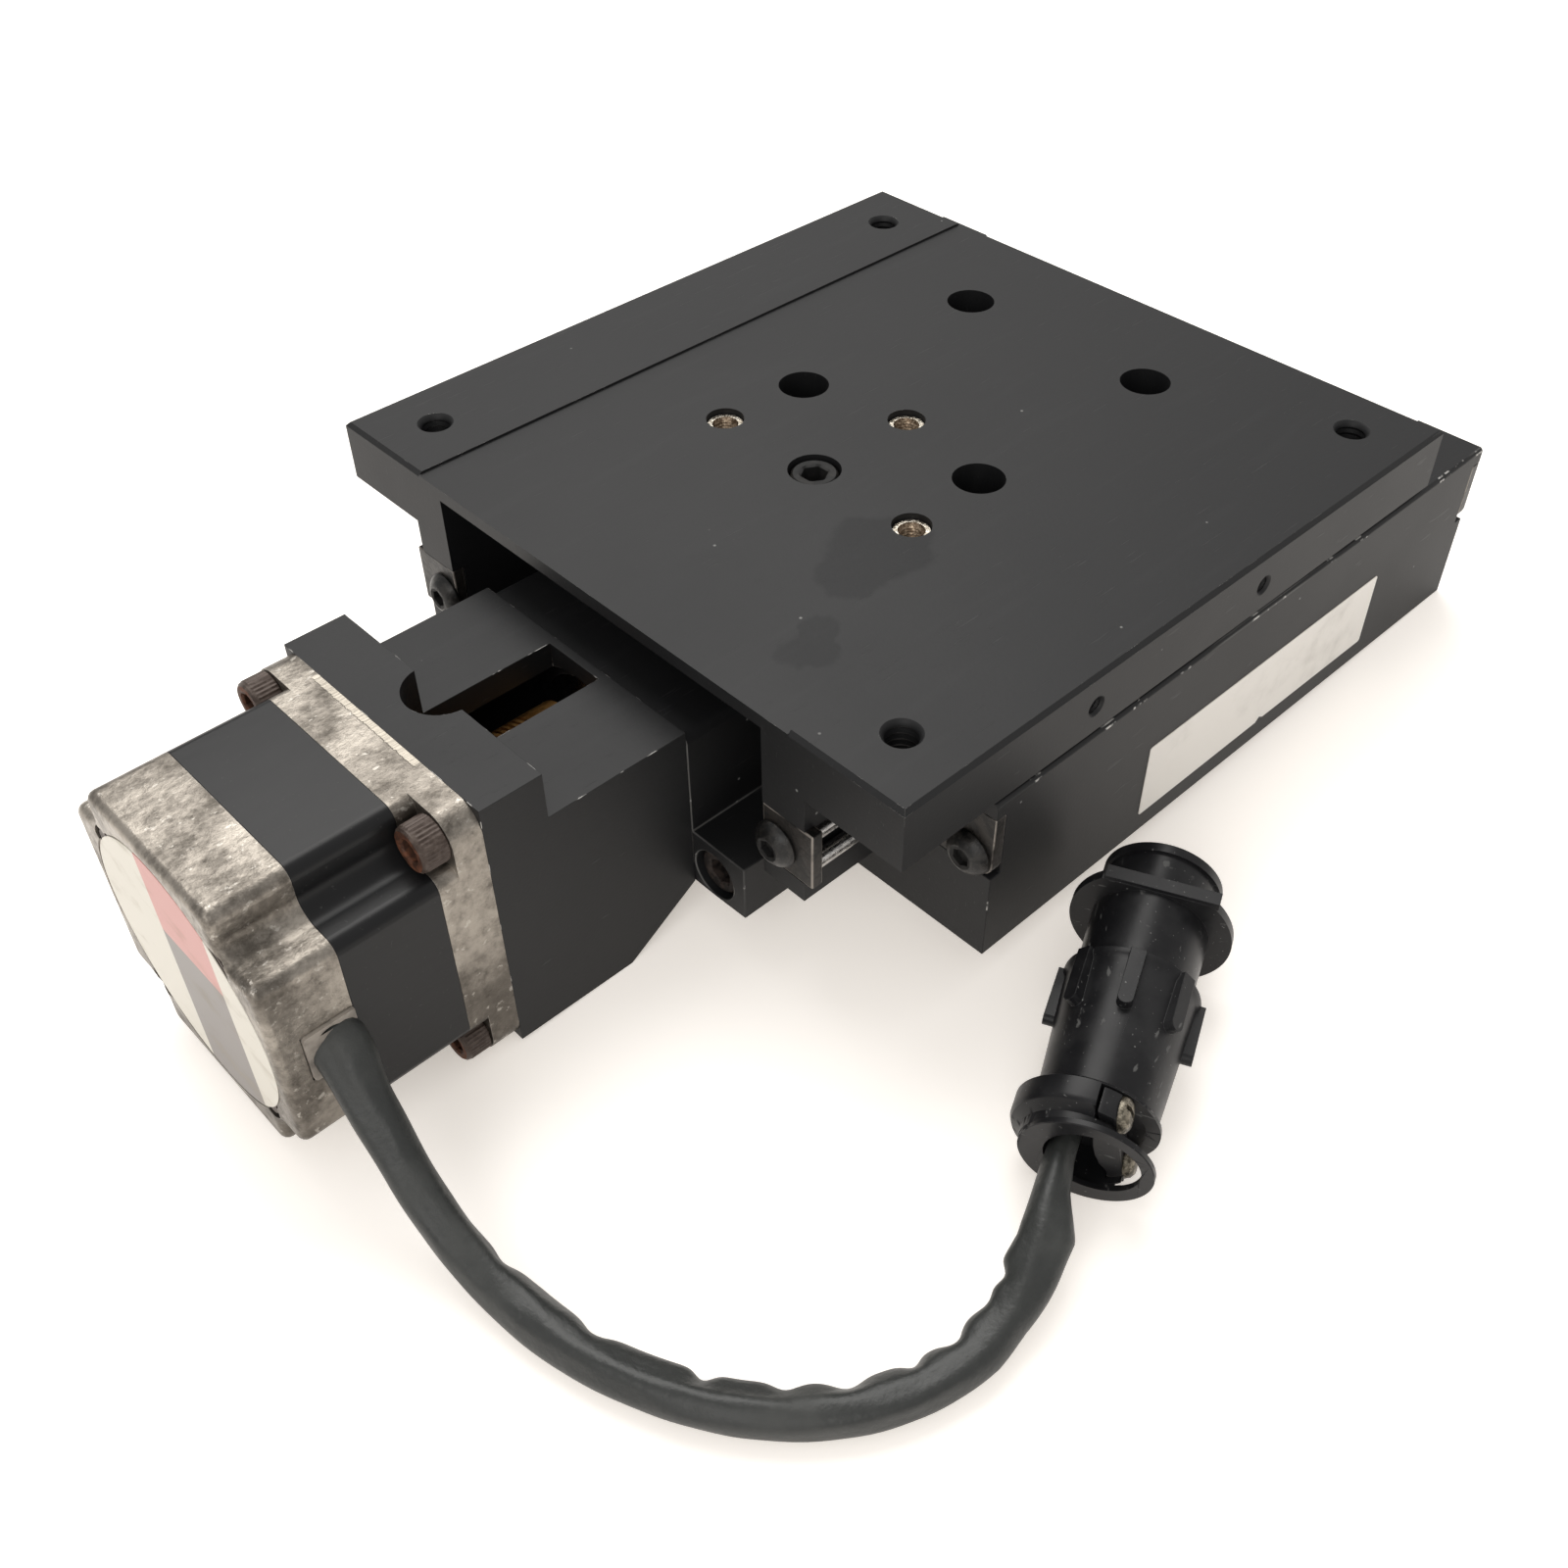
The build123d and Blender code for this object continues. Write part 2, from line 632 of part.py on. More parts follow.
with BuildPart() as housing:
    with BuildSketch(Plane.XZ.offset(-housing_half_width)):
        with BuildLine():
            Polyline(
                (x_motor_face, 0),
                (x_block - slope_start, 0),
                (x_block, slope_rise),
                (x_block, deck_top),
                (x_motor_face + flange_length, deck_top),
                (x_motor_face + flange_length, flange_top),
                (x_motor_face, flange_top),
                close=True,
            )
        make_face()
    extrude(amount=2 * housing_half_width)
    with Locations(facing(-1, x_motor_face, 0, drive_height)):
        Hole(tunnel_radius)
        Hole(pilot_radius, depth=pilot_depth)
    # the window: a slot with a round end, cut down to the tunnel
    with BuildSketch(Plane.XY.offset(flange_top)):
        with Locations(((window_near + window_far + window_half_width) / 2, 0)):
            Rectangle(window_far - window_near - window_half_width, 2 * window_half_width)
        with Locations((window_near + window_half_width, 0)):
            Circle(window_half_width)
    extrude(amount=-(flange_top - drive_height), mode=Mode.SUBTRACT)
    with Locations(*[facing(-1, x_motor_face, y, z) for y, z in motor_screw_places]):
        Hole(m5_radius, depth=10.0)
    with Locations(*[facing(-1, x_motor_face, y, z) for y, z in housing_screw_places]):
        CounterBoreHole(m4_radius + 0.1, m4_head_radius + 0.2, m4_head_height + 0.4)
housing.part.label = "coupling_housing"
export_step(housing.part, "parts/coupling_housing.step")

housing_screw_planes = [
    facing(-1, x_motor_face + m4_head_height + 0.4, y, z) for y, z in housing_screw_places
]
housing_screw_length = housing_length - m4_head_height + 11.0
housing_screws = socket_screws(
    housing_screw_planes, m4_radius, housing_screw_length, m4_head_radius, m4_head_height, m4_hex
)
housing_screws.part.label = "housing_screws"
export_step(housing_screws.part, "parts/housing_screws.step")

# ---- Helical beam coupling ----------------------------------------------------------------------------
# One bronze-coloured cylinder whose middle is cut by a helical slot, so that it bends but doesn't wind up.

coupling_radius = 9.525
coupling_start = x_motor_face + 10.5
coupling_end = -51.55
flexure_bore = 4.7
slot_width = 0.9
slot_pitch = 3.0
slot_turns = 4
flexure_length = slot_pitch * slot_turns
flexure_start = (coupling_start + coupling_end - flexure_length) / 2
motor_shaft_radius = 3.175
motor_shaft_tip = x_motor_face + 20.6
set_screw_radius = 1.5
set_screw_length = 5.2
set_screw_top = motor_shaft_radius + 0.1 + set_screw_length
hub_planes = [
    Plane((x, 0, drive_height), x_dir=(1, 0, 0), z_dir=outward)
    for x in (coupling_start + 3.4, coupling_end - 3.4)
    for outward in ((0, 0, 1), (0, 1, 0))
]

with BuildPart() as coupling:
    with BuildSketch(across(coupling_start)):
        with Locations((0, drive_height)):
            Circle(coupling_radius)
            Circle(motor_shaft_radius, mode=Mode.SUBTRACT)
    extrude(amount=coupling_end - coupling_start)
    chamfer(coupling.edges().filter_by(GeomType.CIRCLE).sort_by(SortBy.RADIUS)[-2:], length=0.8)
    with BuildSketch(across(flexure_start - 1.0)):
        with Locations((0, drive_height)):
            Circle(flexure_bore)
    extrude(amount=flexure_length + 2.0, mode=Mode.SUBTRACT)
    with BuildLine() as slot_path:
        Helix(
            slot_pitch,
            flexure_length,
            (flexure_bore + coupling_radius) / 2,
            center=(flexure_start, 0, drive_height),
            direction=(1, 0, 0),
        )
    with BuildSketch(Plane(slot_path.line @ 0, z_dir=slot_path.line % 0)):
        Rectangle(coupling_radius - flexure_bore + 1.4, slot_width)
    sweep(is_frenet=True, mode=Mode.SUBTRACT)
    for hub_plane in hub_planes:
        with BuildSketch(hub_plane):
            Circle(set_screw_radius)
        extrude(amount=coupling_radius, mode=Mode.SUBTRACT)
coupling.part.label = "helical_coupling"
export_step(coupling.part, "parts/helical_coupling.step")

with BuildPart() as set_screws:
    with BuildSketch(*[hub_plane.offset(set_screw_top - set_screw_length) for hub_plane in hub_planes]):
        Circle(set_screw_radius)
    extrude(amount=set_screw_length)
    with BuildSketch(*[hub_plane.offset(set_screw_top) for hub_plane in hub_planes]):
        RegularPolygon(0.75, 6, major_radius=False)
    extrude(amount=-2.0, mode=Mode.SUBTRACT)
set_screws.part.label = "coupling_set_screws"
export_step(set_screws.part, "parts/coupling_set_screws.step")

# ---- Stepping motor -----------------------------------------------------------------------------------
# A die-cast bracket and rear cap around a laminated stator, all with the same stepped-corner outline.

cross_arm = 38.0
outer_fillet = 2.5
inner_fillet = 4.0
ear_thickness = 5.5
ear_corner = 5.0
pilot_clearance = 0.05
pilot_boss_height = 1.6
winding_outer = 19.5
winding_inner = 16.0
front_cavity = 3.0
rear_cavity = 5.0
motor_bearing_radius = 9.5
motor_bearing_width = 5.0
shaft_hole_radius = 4.2
rotor_radius = 15.0
stator_bore = 15.4
body_screw_offset = 17.2
body_screw_radius = 1.5
body_head_radius = 2.5
body_head_height = 2.8
body_screw_places = [
    (sy * body_screw_offset, drive_height + sz * body_screw_offset) for sy in (-1, 1) for sz in (-1, 1)
]
x_front_motor_bearing = x_bracket + front_cavity
x_rear_motor_bearing = x_stator - rear_cavity - motor_bearing_width


def stepped_cross(x):
    """The motor's outline at x: a square whose four corners are cut to steps with rounded edges."""
    with BuildSketch(across(x)) as outline:
        with Locations((0, drive_height)):
            Rectangle(motor_size, cross_arm)
            Rectangle(cross_arm, motor_size)
        centre = Vector(0, drive_height, 0)
        by_distance = outline.vertices().sort_by(lambda corner: (Vector(*corner) - centre).length)
        fillet(by_distance[:4], radius=inner_fillet)
        fillet(by_distance[4:], radius=outer_fillet)
    return outline.sketch


def round_cut(x, length, radius):
    """Cut a round bore on the motor's axis from x towards +X in the part being built."""
    with BuildSketch(across(x)) as bore:
        with Locations((0, drive_height)):
            Circle(radius)
    extrude(bore.sketch, amount=length, mode=Mode.SUBTRACT)


with BuildPart() as motor_bracket:
    extrude(stepped_cross(x_bracket), amount=bracket_length - ear_thickness)
    with BuildSketch(across(x_motor_face - ear_thickness)):
        with Locations((0, drive_height)):
            RectangleRounded(motor_size, motor_size, ear_corner)
    extrude(amount=ear_thickness)
    with BuildSketch(across(x_motor_face)):
        with Locations((0, drive_height)):
            Circle(pilot_radius - pilot_clearance)
    extrude(amount=pilot_boss_height)
    round_cut(x_bracket, front_cavity, winding_outer + 0.3)
    round_cut(x_front_motor_bearing, motor_bearing_width, motor_bearing_radius)
    round_cut(x_bracket, bracket_length + pilot_boss_height, shaft_hole_radius)
    with Locations(*[facing(1, x_motor_face, y, z) for y, z in motor_screw_places]):
        Hole(m5_radius + 0.1, depth=ear_thickness)
    with Locations(*[facing(-1, x_bracket, y, z) for y, z in body_screw_places]):
        Hole(body_screw_radius, depth=5.0)
motor_bracket.part.label = "motor_front_bracket"
export_step(motor_bracket.part, "parts/motor_front_bracket.step")

motor_screw_planes = [facing(-1, x_motor_face - ear_thickness, y, z) for y, z in motor_screw_places]
motor_screws = socket_screws(
    motor_screw_planes, m5_radius, ear_thickness + 9.0, m5_head_radius, m5_head_height, m5_hex
)
motor_screws.part.label = "motor_mount_screws"
export_step(motor_screws.part, "parts/motor_mount_screws.step")

with BuildPart() as stator:
    extrude(stepped_cross(x_stator), amount=stator_length)
    round_cut(x_stator, stator_length, stator_bore)
    with Locations(*[facing(-1, x_stator, y, z) for y, z in body_screw_places]):
        Hole(body_screw_radius + 0.1)
stator.part.label = "motor_stator"
export_step(stator.part, "parts/motor_stator.step")

with BuildPart() as windings:
    for start, length in (
        (x_bracket, front_cavity - 0.4),
        (x_stator - rear_cavity + 0.4, rear_cavity - 0.4),
    ):
        with BuildSketch(across(start)):
            with Locations((0, drive_height)):
                Circle(winding_outer)
                Circle(winding_inner, mode=Mode.SUBTRACT)
        extrude(amount=length)
windings.part.label = "motor_windings"
export_step(windings.part, "parts/motor_windings.step")

grommet_start = -125.4
grommet_bottom = 23.0
grommet_top = 33.5
grommet_depth = 5.2
grommet_proud = 0.6

with BuildPart() as rear_cap:
    extrude(stepped_cross(x_motor_rear), amount=rear_cap_length)
    fillet(rear_cap.faces().sort_by(Axis.X)[0].edges(), radius=1.6)
    round_cut(x_stator - rear_cavity, rear_cavity, winding_outer + 0.3)
    round_cut(x_rear_motor_bearing, motor_bearing_width, motor_bearing_radius)
    with Locations(*[facing(-1, x_motor_rear, y, z) for y, z in body_screw_places]):
        CounterBoreHole(body_screw_radius + 0.1, body_head_radius + 0.2, body_head_height + 0.3)
    with BuildSketch(Plane.XZ.offset(motor_size / 2)):
        with Locations(((grommet_start + x_stator) / 2, (grommet_bottom + grommet_top) / 2)):
            Rectangle(x_stator - grommet_start, grommet_top - grommet_bottom)
    extrude(amount=-grommet_depth, mode=Mode.SUBTRACT)
rear_cap.part.label = "motor_rear_cap"
export_step(rear_cap.part, "parts/motor_rear_cap.step")

body_screw_planes = [
    facing(-1, x_motor_rear + body_head_height + 0.3, y, z) for y, z in body_screw_places
]
body_screws = socket_screws(
    body_screw_planes,
    body_screw_radius,
    rear_cap_length + stator_length,
    body_head_radius,
    body_head_height,
    2.5,
)
body_screws.part.label = "motor_body_screws"
export_step(body_screws.part, "parts/motor_body_screws.step")

with BuildPart() as motor_bearings:
    for start in (x_front_motor_bearing, x_rear_motor_bearing):
        with BuildSketch(across(start)):
            with Locations((0, drive_height)):
                Circle(motor_bearing_radius)
                Circle(motor_shaft_radius + running_gap, mode=Mode.SUBTRACT)
        extrude(amount=motor_bearing_width)
motor_bearings.part.label = "motor_bearings"
export_step(motor_bearings.part, "parts/motor_bearings.step")

with BuildPart() as motor_shaft:
    with BuildSketch(across(x_rear_motor_bearing)):
        with Locations((0, drive_height)):
            Circle(motor_shaft_radius)
    extrude(amount=motor_shaft_tip - x_rear_motor_bearing)
    chamfer(motor_shaft.faces().sort_by(Axis.X)[-1].edges(), length=0.5)
motor_shaft.part.label = "motor_shaft"
export_step(motor_shaft.part, "parts/motor_shaft.step")

with BuildPart() as rotor:
    with BuildSketch(across(x_stator + 1.0)):
        with Locations((0, drive_height)):
            Circle(rotor_radius)
            Circle(motor_shaft_radius, mode=Mode.SUBTRACT)
    extrude(amount=stator_length - 2.0)
rotor.part.label = "motor_rotor"
export_step(rotor.part, "parts/motor_rotor.step")

# ---- Plug ---------------------------------------------------------------------------------------------
# A round plastic plug that lies on the table beside the base. Its own Z runs from the cable to the pins.
# The stage stands on the motor housing's lower edge and the base's far edge, so in its frame the table
# slopes up by one part in twenty, and the plug's axis with it.

plug_rear = (-44.36, -116.26, 12.35)
plug_heading = 25.42
plug_pitch = 5.78
heading = radians(plug_heading)
pitch = radians(plug_pitch)
plug_axis = (cos(pitch) * cos(heading), cos(pitch) * sin(heading), sin(pitch))
plug_plane = Plane(plug_rear, x_dir=(-sin(heading), cos(heading), 0), z_dir=plug_axis)
plug_profile = Plane(plug_rear, x_dir=plug_axis, z_dir=(-sin(heading), cos(heading), 0))
turning_axis = Axis(plug_rear, plug_axis)

clamp_length = 12.0
clamp_radius = 11.7
clamp_ring_radius = 11.3
clamp_bore = 8.2
back_shell_end = 38.3
front_barrel_radius = 10.8
flange_position = 46.8
flange_thickness = 1.8
flange_radius = 14.1
flange_flat = 10.5
plug_length = 57.6
nose_radius = 10.5
nose_bore = 8.8
spigot_radius = 9.3
spigot_start = 30.0
insert_start = 40.0
insert_face = 50.5
insert_clearance = 0.02
contact_circle = 5.4
contact_count = 8
contact_radius = 0.8
contact_length = 4.6
rib_count = 8
rib_width = 2.6
rib_height = 12.3
rib_start = 26.5
rib_end = 37.3

with BuildPart() as plug_back_shell:
    with BuildSketch(plug_profile):
        with BuildLine():
            Polyline(
                (clamp_length, 0),
                (clamp_length, 10.3),
                (24.0, 10.8),
                (rib_end, 11.3),
                (back_shell_end, 11.3),
                (back_shell_end, spigot_radius),
                (spigot_start, spigot_radius),
                (spigot_start, 0),
                close=True,
            )
        make_face()
    revolve(axis=turning_axis)
    with BuildSketch(plug_plane.offset(rib_start)):
        with PolarLocations((rib_height + spigot_radius + 0.6) / 2, rib_count, start_angle=22.5):
            Rectangle(rib_height - spigot_radius - 0.6, rib_width)
    extrude(amount=rib_end - rib_start)
plug_back_shell.part.label = "plug_back_shell"
export_step(plug_back_shell.part, "parts/plug_back_shell.step")

with BuildPart() as plug_front_shell:
    with BuildSketch(plug_profile):
        with BuildLine():
            Polyline(
                (spigot_start, 0),
                (spigot_start, spigot_radius),
                (back_shell_end, spigot_radius),
                (back_shell_end, front_barrel_radius),
                (flange_position, front_barrel_radius),
                (flange_position, flange_radius),
                (flange_position + flange_thickness, flange_radius),
                (flange_position + flange_thickness, nose_radius - 0.6),
                (plug_length - 1.8, nose_radius - 0.6),
                (plug_length - 1.8, nose_radius),
                (plug_length, nose_radius),
                (plug_length, nose_bore),
                (insert_start, nose_bore),
                (insert_start, 0),
                close=True,
            )
        make_face()
    revolve(axis=turning_axis)
    # the flange is cut flat on top, and a straight key bar lies along the flat
    with BuildSketch(plug_plane.offset(flange_position)):
        with Locations((0, flange_flat + flange_radius / 2)):
            Rectangle(2 * flange_radius, flange_radius)
    extrude(amount=flange_thickness, mode=Mode.SUBTRACT)
    with BuildSketch(plug_plane.offset(flange_position - 0.6)):
        with Locations((0, flange_flat)):
            Rectangle(21.0, 1.6)
    extrude(amount=flange_thickness + 1.6)
plug_front_shell.part.label = "plug_front_shell"
export_step(plug_front_shell.part, "parts/plug_front_shell.step")

with BuildPart() as plug_insert:
    with BuildSketch(plug_plane.offset(insert_start)):
        Circle(nose_bore - insert_clearance)
    extrude(amount=insert_face - insert_start)
plug_insert.part.label = "plug_insert"
export_step(plug_insert.part, "parts/plug_insert.step")

with BuildPart() as plug_contacts:
    with BuildSketch(plug_plane.offset(insert_face)):
        with PolarLocations(contact_circle, contact_count):
            Circle(contact_radius)
        Circle(contact_radius)
    extrude(amount=contact_length)
plug_contacts.part.label = "plug_contacts"
export_step(plug_contacts.part, "parts/plug_contacts.step")

saddle_seat = 8.7  # from the plug's axis to the saddle's flat seat
saddle_start = 3.4
saddle_end = 10.6
saddle_thickness = 1.8
clamp_screw_height = 6.2
clamp_screw_radius = 1.4
clamp_head_radius = 2.7
clamp_head_height = 1.9

with BuildPart() as plug_clamp:
    with BuildSketch(plug_profile):
        with BuildLine():
            Polyline(
                (0, clamp_bore),
                (0, clamp_ring_radius - 1.0),
                (1.0, clamp_ring_radius),
                (saddle_start - 0.6, clamp_ring_radius),
                (saddle_start, clamp_radius),
                (clamp_length, clamp_radius),
                (clamp_length, 0),
                (saddle_end, 0),
                (saddle_end, clamp_bore),
                close=True,
            )
        make_face()
    revolve(axis=turning_axis)
    with BuildSketch(plug_plane.offset(saddle_start)):
        with Locations((-saddle_seat - clamp_radius / 2, 0)):
            Rectangle(clamp_radius, 2 * clamp_radius)
    extrude(amount=saddle_end - saddle_start, mode=Mode.SUBTRACT)
plug_clamp.part.label = "plug_cable_clamp"
export_step(plug_clamp.part, "parts/plug_cable_clamp.step")

saddle_plane = Plane(
    plug_plane.from_local_coords((-saddle_seat, 0, (saddle_start + saddle_end) / 2)),
    x_dir=plug_plane.z_dir,
    z_dir=-plug_plane.x_dir,
)
with BuildPart() as plug_saddle:
    with BuildSketch(saddle_plane):
        RectangleRounded(saddle_end - saddle_start - 0.4, 2 * clamp_screw_height + 4.4, 2.0)
        with GridLocations(0, 2 * clamp_screw_height, 1, 2):
            Circle(clamp_screw_radius, mode=Mode.SUBTRACT)
    extrude(amount=saddle_thickness)
plug_saddle.part.label = "plug_clamp_saddle"
export_step(plug_saddle.part, "parts/plug_clamp_saddle.step")

with BuildPart() as plug_screws:
    with BuildSketch(saddle_plane.offset(saddle_thickness)):
        with GridLocations(0, 2 * clamp_screw_height, 1, 2):
            Circle(clamp_head_radius)
    extrude(amount=clamp_head_height, taper=12)
    with BuildSketch(saddle_plane):
        with GridLocations(0, 2 * clamp_screw_height, 1, 2):
            Circle(clamp_screw_radius)
    extrude(amount=saddle_thickness)
    with BuildSketch(saddle_plane.offset(saddle_thickness + clamp_head_height)):
        with GridLocations(0, 2 * clamp_screw_height, 1, 2):
            Rectangle(0.8, 2 * clamp_head_radius)
    extrude(amount=-0.9, mode=Mode.SUBTRACT)
plug_screws.part.label = "plug_clamp_screws"
export_step(plug_screws.part, "parts/plug_clamp_screws.step")

# ---- Motor cable --------------------------------------------------------------------------------------
# It leaves a block-shaped grommet downwards, lies on the table in one wide bend and rises into the clamp.

cable_diameter = 7.5
cable_aside = 2.6  # the cable lies left of the plug's axis
cable_end = plug_plane.from_local_coords((cable_aside, 0, saddle_end))
cable_approach = plug_plane.from_local_coords((cable_aside, 0, -7.8))
cable_route = [
    (-120.6, -26.2, 29.9),
    (-121.0, -36.2, 21.2),
    (-121.6, -47.2, 9.8),
    (-121.2, -61.5, 2.4),
    (-119.3, -77.5, 1.05),
    (-115.0, -91.5, 1.25),
    (-107.8, -105.0, 1.6),
    (-97.4, -115.9, 2.15),
    (-84.0, -123.2, 2.8),
    (-68.5, -124.3, 4.3),
    tuple(cable_approach),
    tuple(cable_end),
]


def arc_radius(before, corner, after):
    """The largest arc that two runs of a route allow at their corner."""
    arriving = Vector(*corner) - Vector(*before)
    leaving = Vector(*after) - Vector(*corner)
    half_turn = radians(arriving.get_angle(leaving)) / 2
    return 0.45 * min(arriving.length, leaving.length) / tan(half_turn)


cable_radii = [arc_radius(*cable_route[i - 1 : i + 2]) for i in range(1, len(cable_route) - 1)]
print("cable radii:", [round(radius, 1) for radius in cable_radii])

with BuildPart() as cable:
    with BuildLine() as cable_path:
        FilletPolyline(*cable_route, radius=cable_radii)
    with BuildSketch(Plane(cable_path.line @ 0, z_dir=cable_path.line % 0)):
        Circle(cable_diameter / 2)
    sweep()
cable.part.label = "motor_cable"
export_step(cable.part, "parts/motor_cable.step")
cable_exit = Plane(cable_route[0], z_dir=Vector(*cable_route[1]) - Vector(*cable_route[0]))

with BuildPart() as grommet:
    with BuildSketch(Plane.XZ.offset(motor_size / 2 + grommet_proud)):
        with Locations(((grommet_start + x_stator) / 2, (grommet_bottom + grommet_top) / 2)):
            Rectangle(x_stator - grommet_start, grommet_top - grommet_bottom)
    extrude(amount=-(grommet_depth + grommet_proud))
    with BuildSketch(cable_exit):
        Circle(cable_diameter / 2)
    extrude(amount=4 * cable_diameter, mode=Mode.SUBTRACT)
grommet.part.label = "cable_grommet"
export_step(grommet.part, "parts/cable_grommet.step")

cable_length = sum(edge.length for edge in cable_path.edges())
section_volume = pi * (cable_diameter / 2) ** 2 * cable_length
print(f"cable: {cable_length:.1f} long, volume {cable.part.volume:.0f}, by section {section_volume:.0f}")
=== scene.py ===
"""Looks of a motorised linear stage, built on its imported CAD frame.

The sections follow the assembly: the cable is routed first, then the base, its ball slides, the carriage,
the drive, the housing, the motor and at last the plug. The frame is the CAD's own, in metres.
"""

import bmesh
import bpy
import math
from mathutils import Matrix, Vector, noise


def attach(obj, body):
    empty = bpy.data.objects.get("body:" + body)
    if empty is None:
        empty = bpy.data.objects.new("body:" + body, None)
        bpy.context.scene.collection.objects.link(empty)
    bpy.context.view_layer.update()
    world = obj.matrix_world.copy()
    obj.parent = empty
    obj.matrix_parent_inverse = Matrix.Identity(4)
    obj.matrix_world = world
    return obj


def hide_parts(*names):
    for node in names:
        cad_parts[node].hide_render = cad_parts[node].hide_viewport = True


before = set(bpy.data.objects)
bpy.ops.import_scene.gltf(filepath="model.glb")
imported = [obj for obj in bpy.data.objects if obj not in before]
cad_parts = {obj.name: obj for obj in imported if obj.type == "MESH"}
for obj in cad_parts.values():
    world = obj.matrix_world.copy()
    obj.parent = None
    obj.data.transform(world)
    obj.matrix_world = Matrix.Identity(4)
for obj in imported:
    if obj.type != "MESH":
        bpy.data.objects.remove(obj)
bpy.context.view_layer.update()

# ---- Camera --------------------------------------------------------------------------------------------
# A phone held high over the motor's right rear corner, looking down along the travel. Its frame is
# square, and the picture's middle lies a little off the lens axis.

camera_place = Vector((-0.175626, -0.190467, 0.232991))
camera_right = Vector((0.72342, -0.69039, -0.00545))
camera_up = Vector((0.47789, 0.49503, 0.72565))
camera_back = camera_right.cross(camera_up)
lens_mm = 37.73
sensor_mm = 36.0
lens_shift = (-0.0063, -0.0079)
sight_range = (0.01, 20)

camera_data = bpy.data.cameras.new("camera")
camera_data.sensor_width = sensor_mm
camera_data.lens = lens_mm
camera_data.shift_x, camera_data.shift_y = lens_shift
camera_data.clip_start, camera_data.clip_end = sight_range
camera = bpy.data.objects.new("camera", camera_data)
camera.matrix_world = Matrix.Translation(camera_place) @ Matrix(
    (camera_right, camera_up, camera_back)
).transposed().to_4x4()
bpy.context.collection.objects.link(camera)
bpy.context.scene.camera = camera

# ---- Table top, lamps and sky --------------------------------------------------------------------------
# A white table under soft lamps. The stage stands on the housing's lower edge and on the base's far
# edge, so in the stage's frame the table top rises by one part in twenty along X.

table_slope = 0.04912
table_touch_x = -0.06335
table_size = 6.0
table_white = (0.93, 0.915, 0.9, 1)
table_glow = (0.43, 0.395, 0.355, 1)
sky_white = (1.0, 0.985, 0.97, 1)
sky_light = (0.62, 0.61, 0.6, 1)
unlit = (0, 0, 0, 1)


class Tone:
    """A value in a finish's nodes. Operators on it add Math nodes; make() adds any other node."""

    def __init__(self, tree, socket=None):
        self.tree = tree
        self.socket = socket

    def make(self, kind, settings, sockets, output=0):
        node = self.tree.nodes.new(kind)
        for key, value in settings.items():
            setattr(node, key, value)
        for key, value in sockets.items():
            if isinstance(value, Tone):
                self.tree.links.new(value.socket, node.inputs[key])
            else:
                node.inputs[key].default_value = value
        return Tone(self.tree, node.outputs[output])

    def math(self, operation, *terms):
        return self.make("ShaderNodeMath", {"operation": operation}, dict(enumerate(terms)))

    def __add__(self, other):
        return self.math("ADD", self, other)

    def __sub__(self, other):
        return self.math("SUBTRACT", self, other)

    def __rsub__(self, other):
        return self.math("SUBTRACT", other, self)

    def __mul__(self, other):
        return self.math("MULTIPLY", self, other)

    def most(self, other):
        return self.math("MAXIMUM", self, other)

    def least(self, other):
        return self.math("MINIMUM", self, other)

    def above(self, limit):
        return self.math("GREATER_THAN", self, limit)

    def below(self, limit):
        return self.math("LESS_THAN", self, limit)

    __radd__ = __add__
    __rmul__ = __mul__


def new_finish(name):
    """An empty finish, its Principled shader and a Tone that holds the surface's own coordinates."""
    finish = bpy.data.materials.new(name)
    finish.use_nodes = True
    shader = finish.node_tree.nodes["Principled BSDF"]
    place = Tone(finish.node_tree).make("ShaderNodeTexCoord", {}, {}, "Object")
    return finish, shader, place


def feed(shader, **sockets):
    """Sets the shader's sockets, named with _ for a space, to numbers, colours or Tones."""
    for name, value in sockets.items():
        socket = shader.inputs[name.replace("_", " ")]
        if isinstance(value, Tone):
            shader.id_data.links.new(value.socket, socket)
        else:
            socket.default_value = value


def linked_object(name, mesh):
    """A new object for a mesh whose vertices are already in place."""
    thing = bpy.data.objects.new(name, mesh)
    bpy.context.collection.objects.link(thing)
    return thing


def blend_colour(mask, low, high):
    """The colour low where the mask is 0 and high where it is 1."""
    return mask.make("ShaderNodeMix", {"data_type": "RGBA"}, {0: mask, 6: low, 7: high}, 2)


table_finish, table_shader, table_place = new_finish("table_white")
seen = table_place.make("ShaderNodeLightPath", {}, {}, "Is Camera Ray")
for ray in ("Is Glossy Ray", "Is Transmission Ray"):
    seen = seen.most(table_place.make("ShaderNodeLightPath", {}, {}, ray))
feed(
    table_shader,
    Base_Color=table_white,
    Roughness=0.6,
    Specular_IOR_Level=0.2,
    Emission_Color=blend_colour(seen, unlit, table_glow),
    Emission_Strength=1.0,
)

square = ((-1, -1), (1, -1), (1, 1), (-1, 1))
table_corners = [
    (x * table_size, y * table_size, table_slope * (x * table_size - table_touch_x)) for x, y in square
]
table_mesh = bpy.data.meshes.new("table_top")
table_mesh.from_pydata(table_corners, [], [(0, 1, 2, 3)])
table_mesh.materials.append(table_finish)
linked_object("table_top", table_mesh)

sky = bpy.data.worlds.new("sky")
sky.use_nodes = True
sky_seen = Tone(sky.node_tree).make("ShaderNodeLightPath", {}, {}, "Is Camera Ray")
feed(sky.node_tree.nodes["Background"], Color=blend_colour(sky_seen, sky_light, sky_white))
bpy.context.scene.world = sky


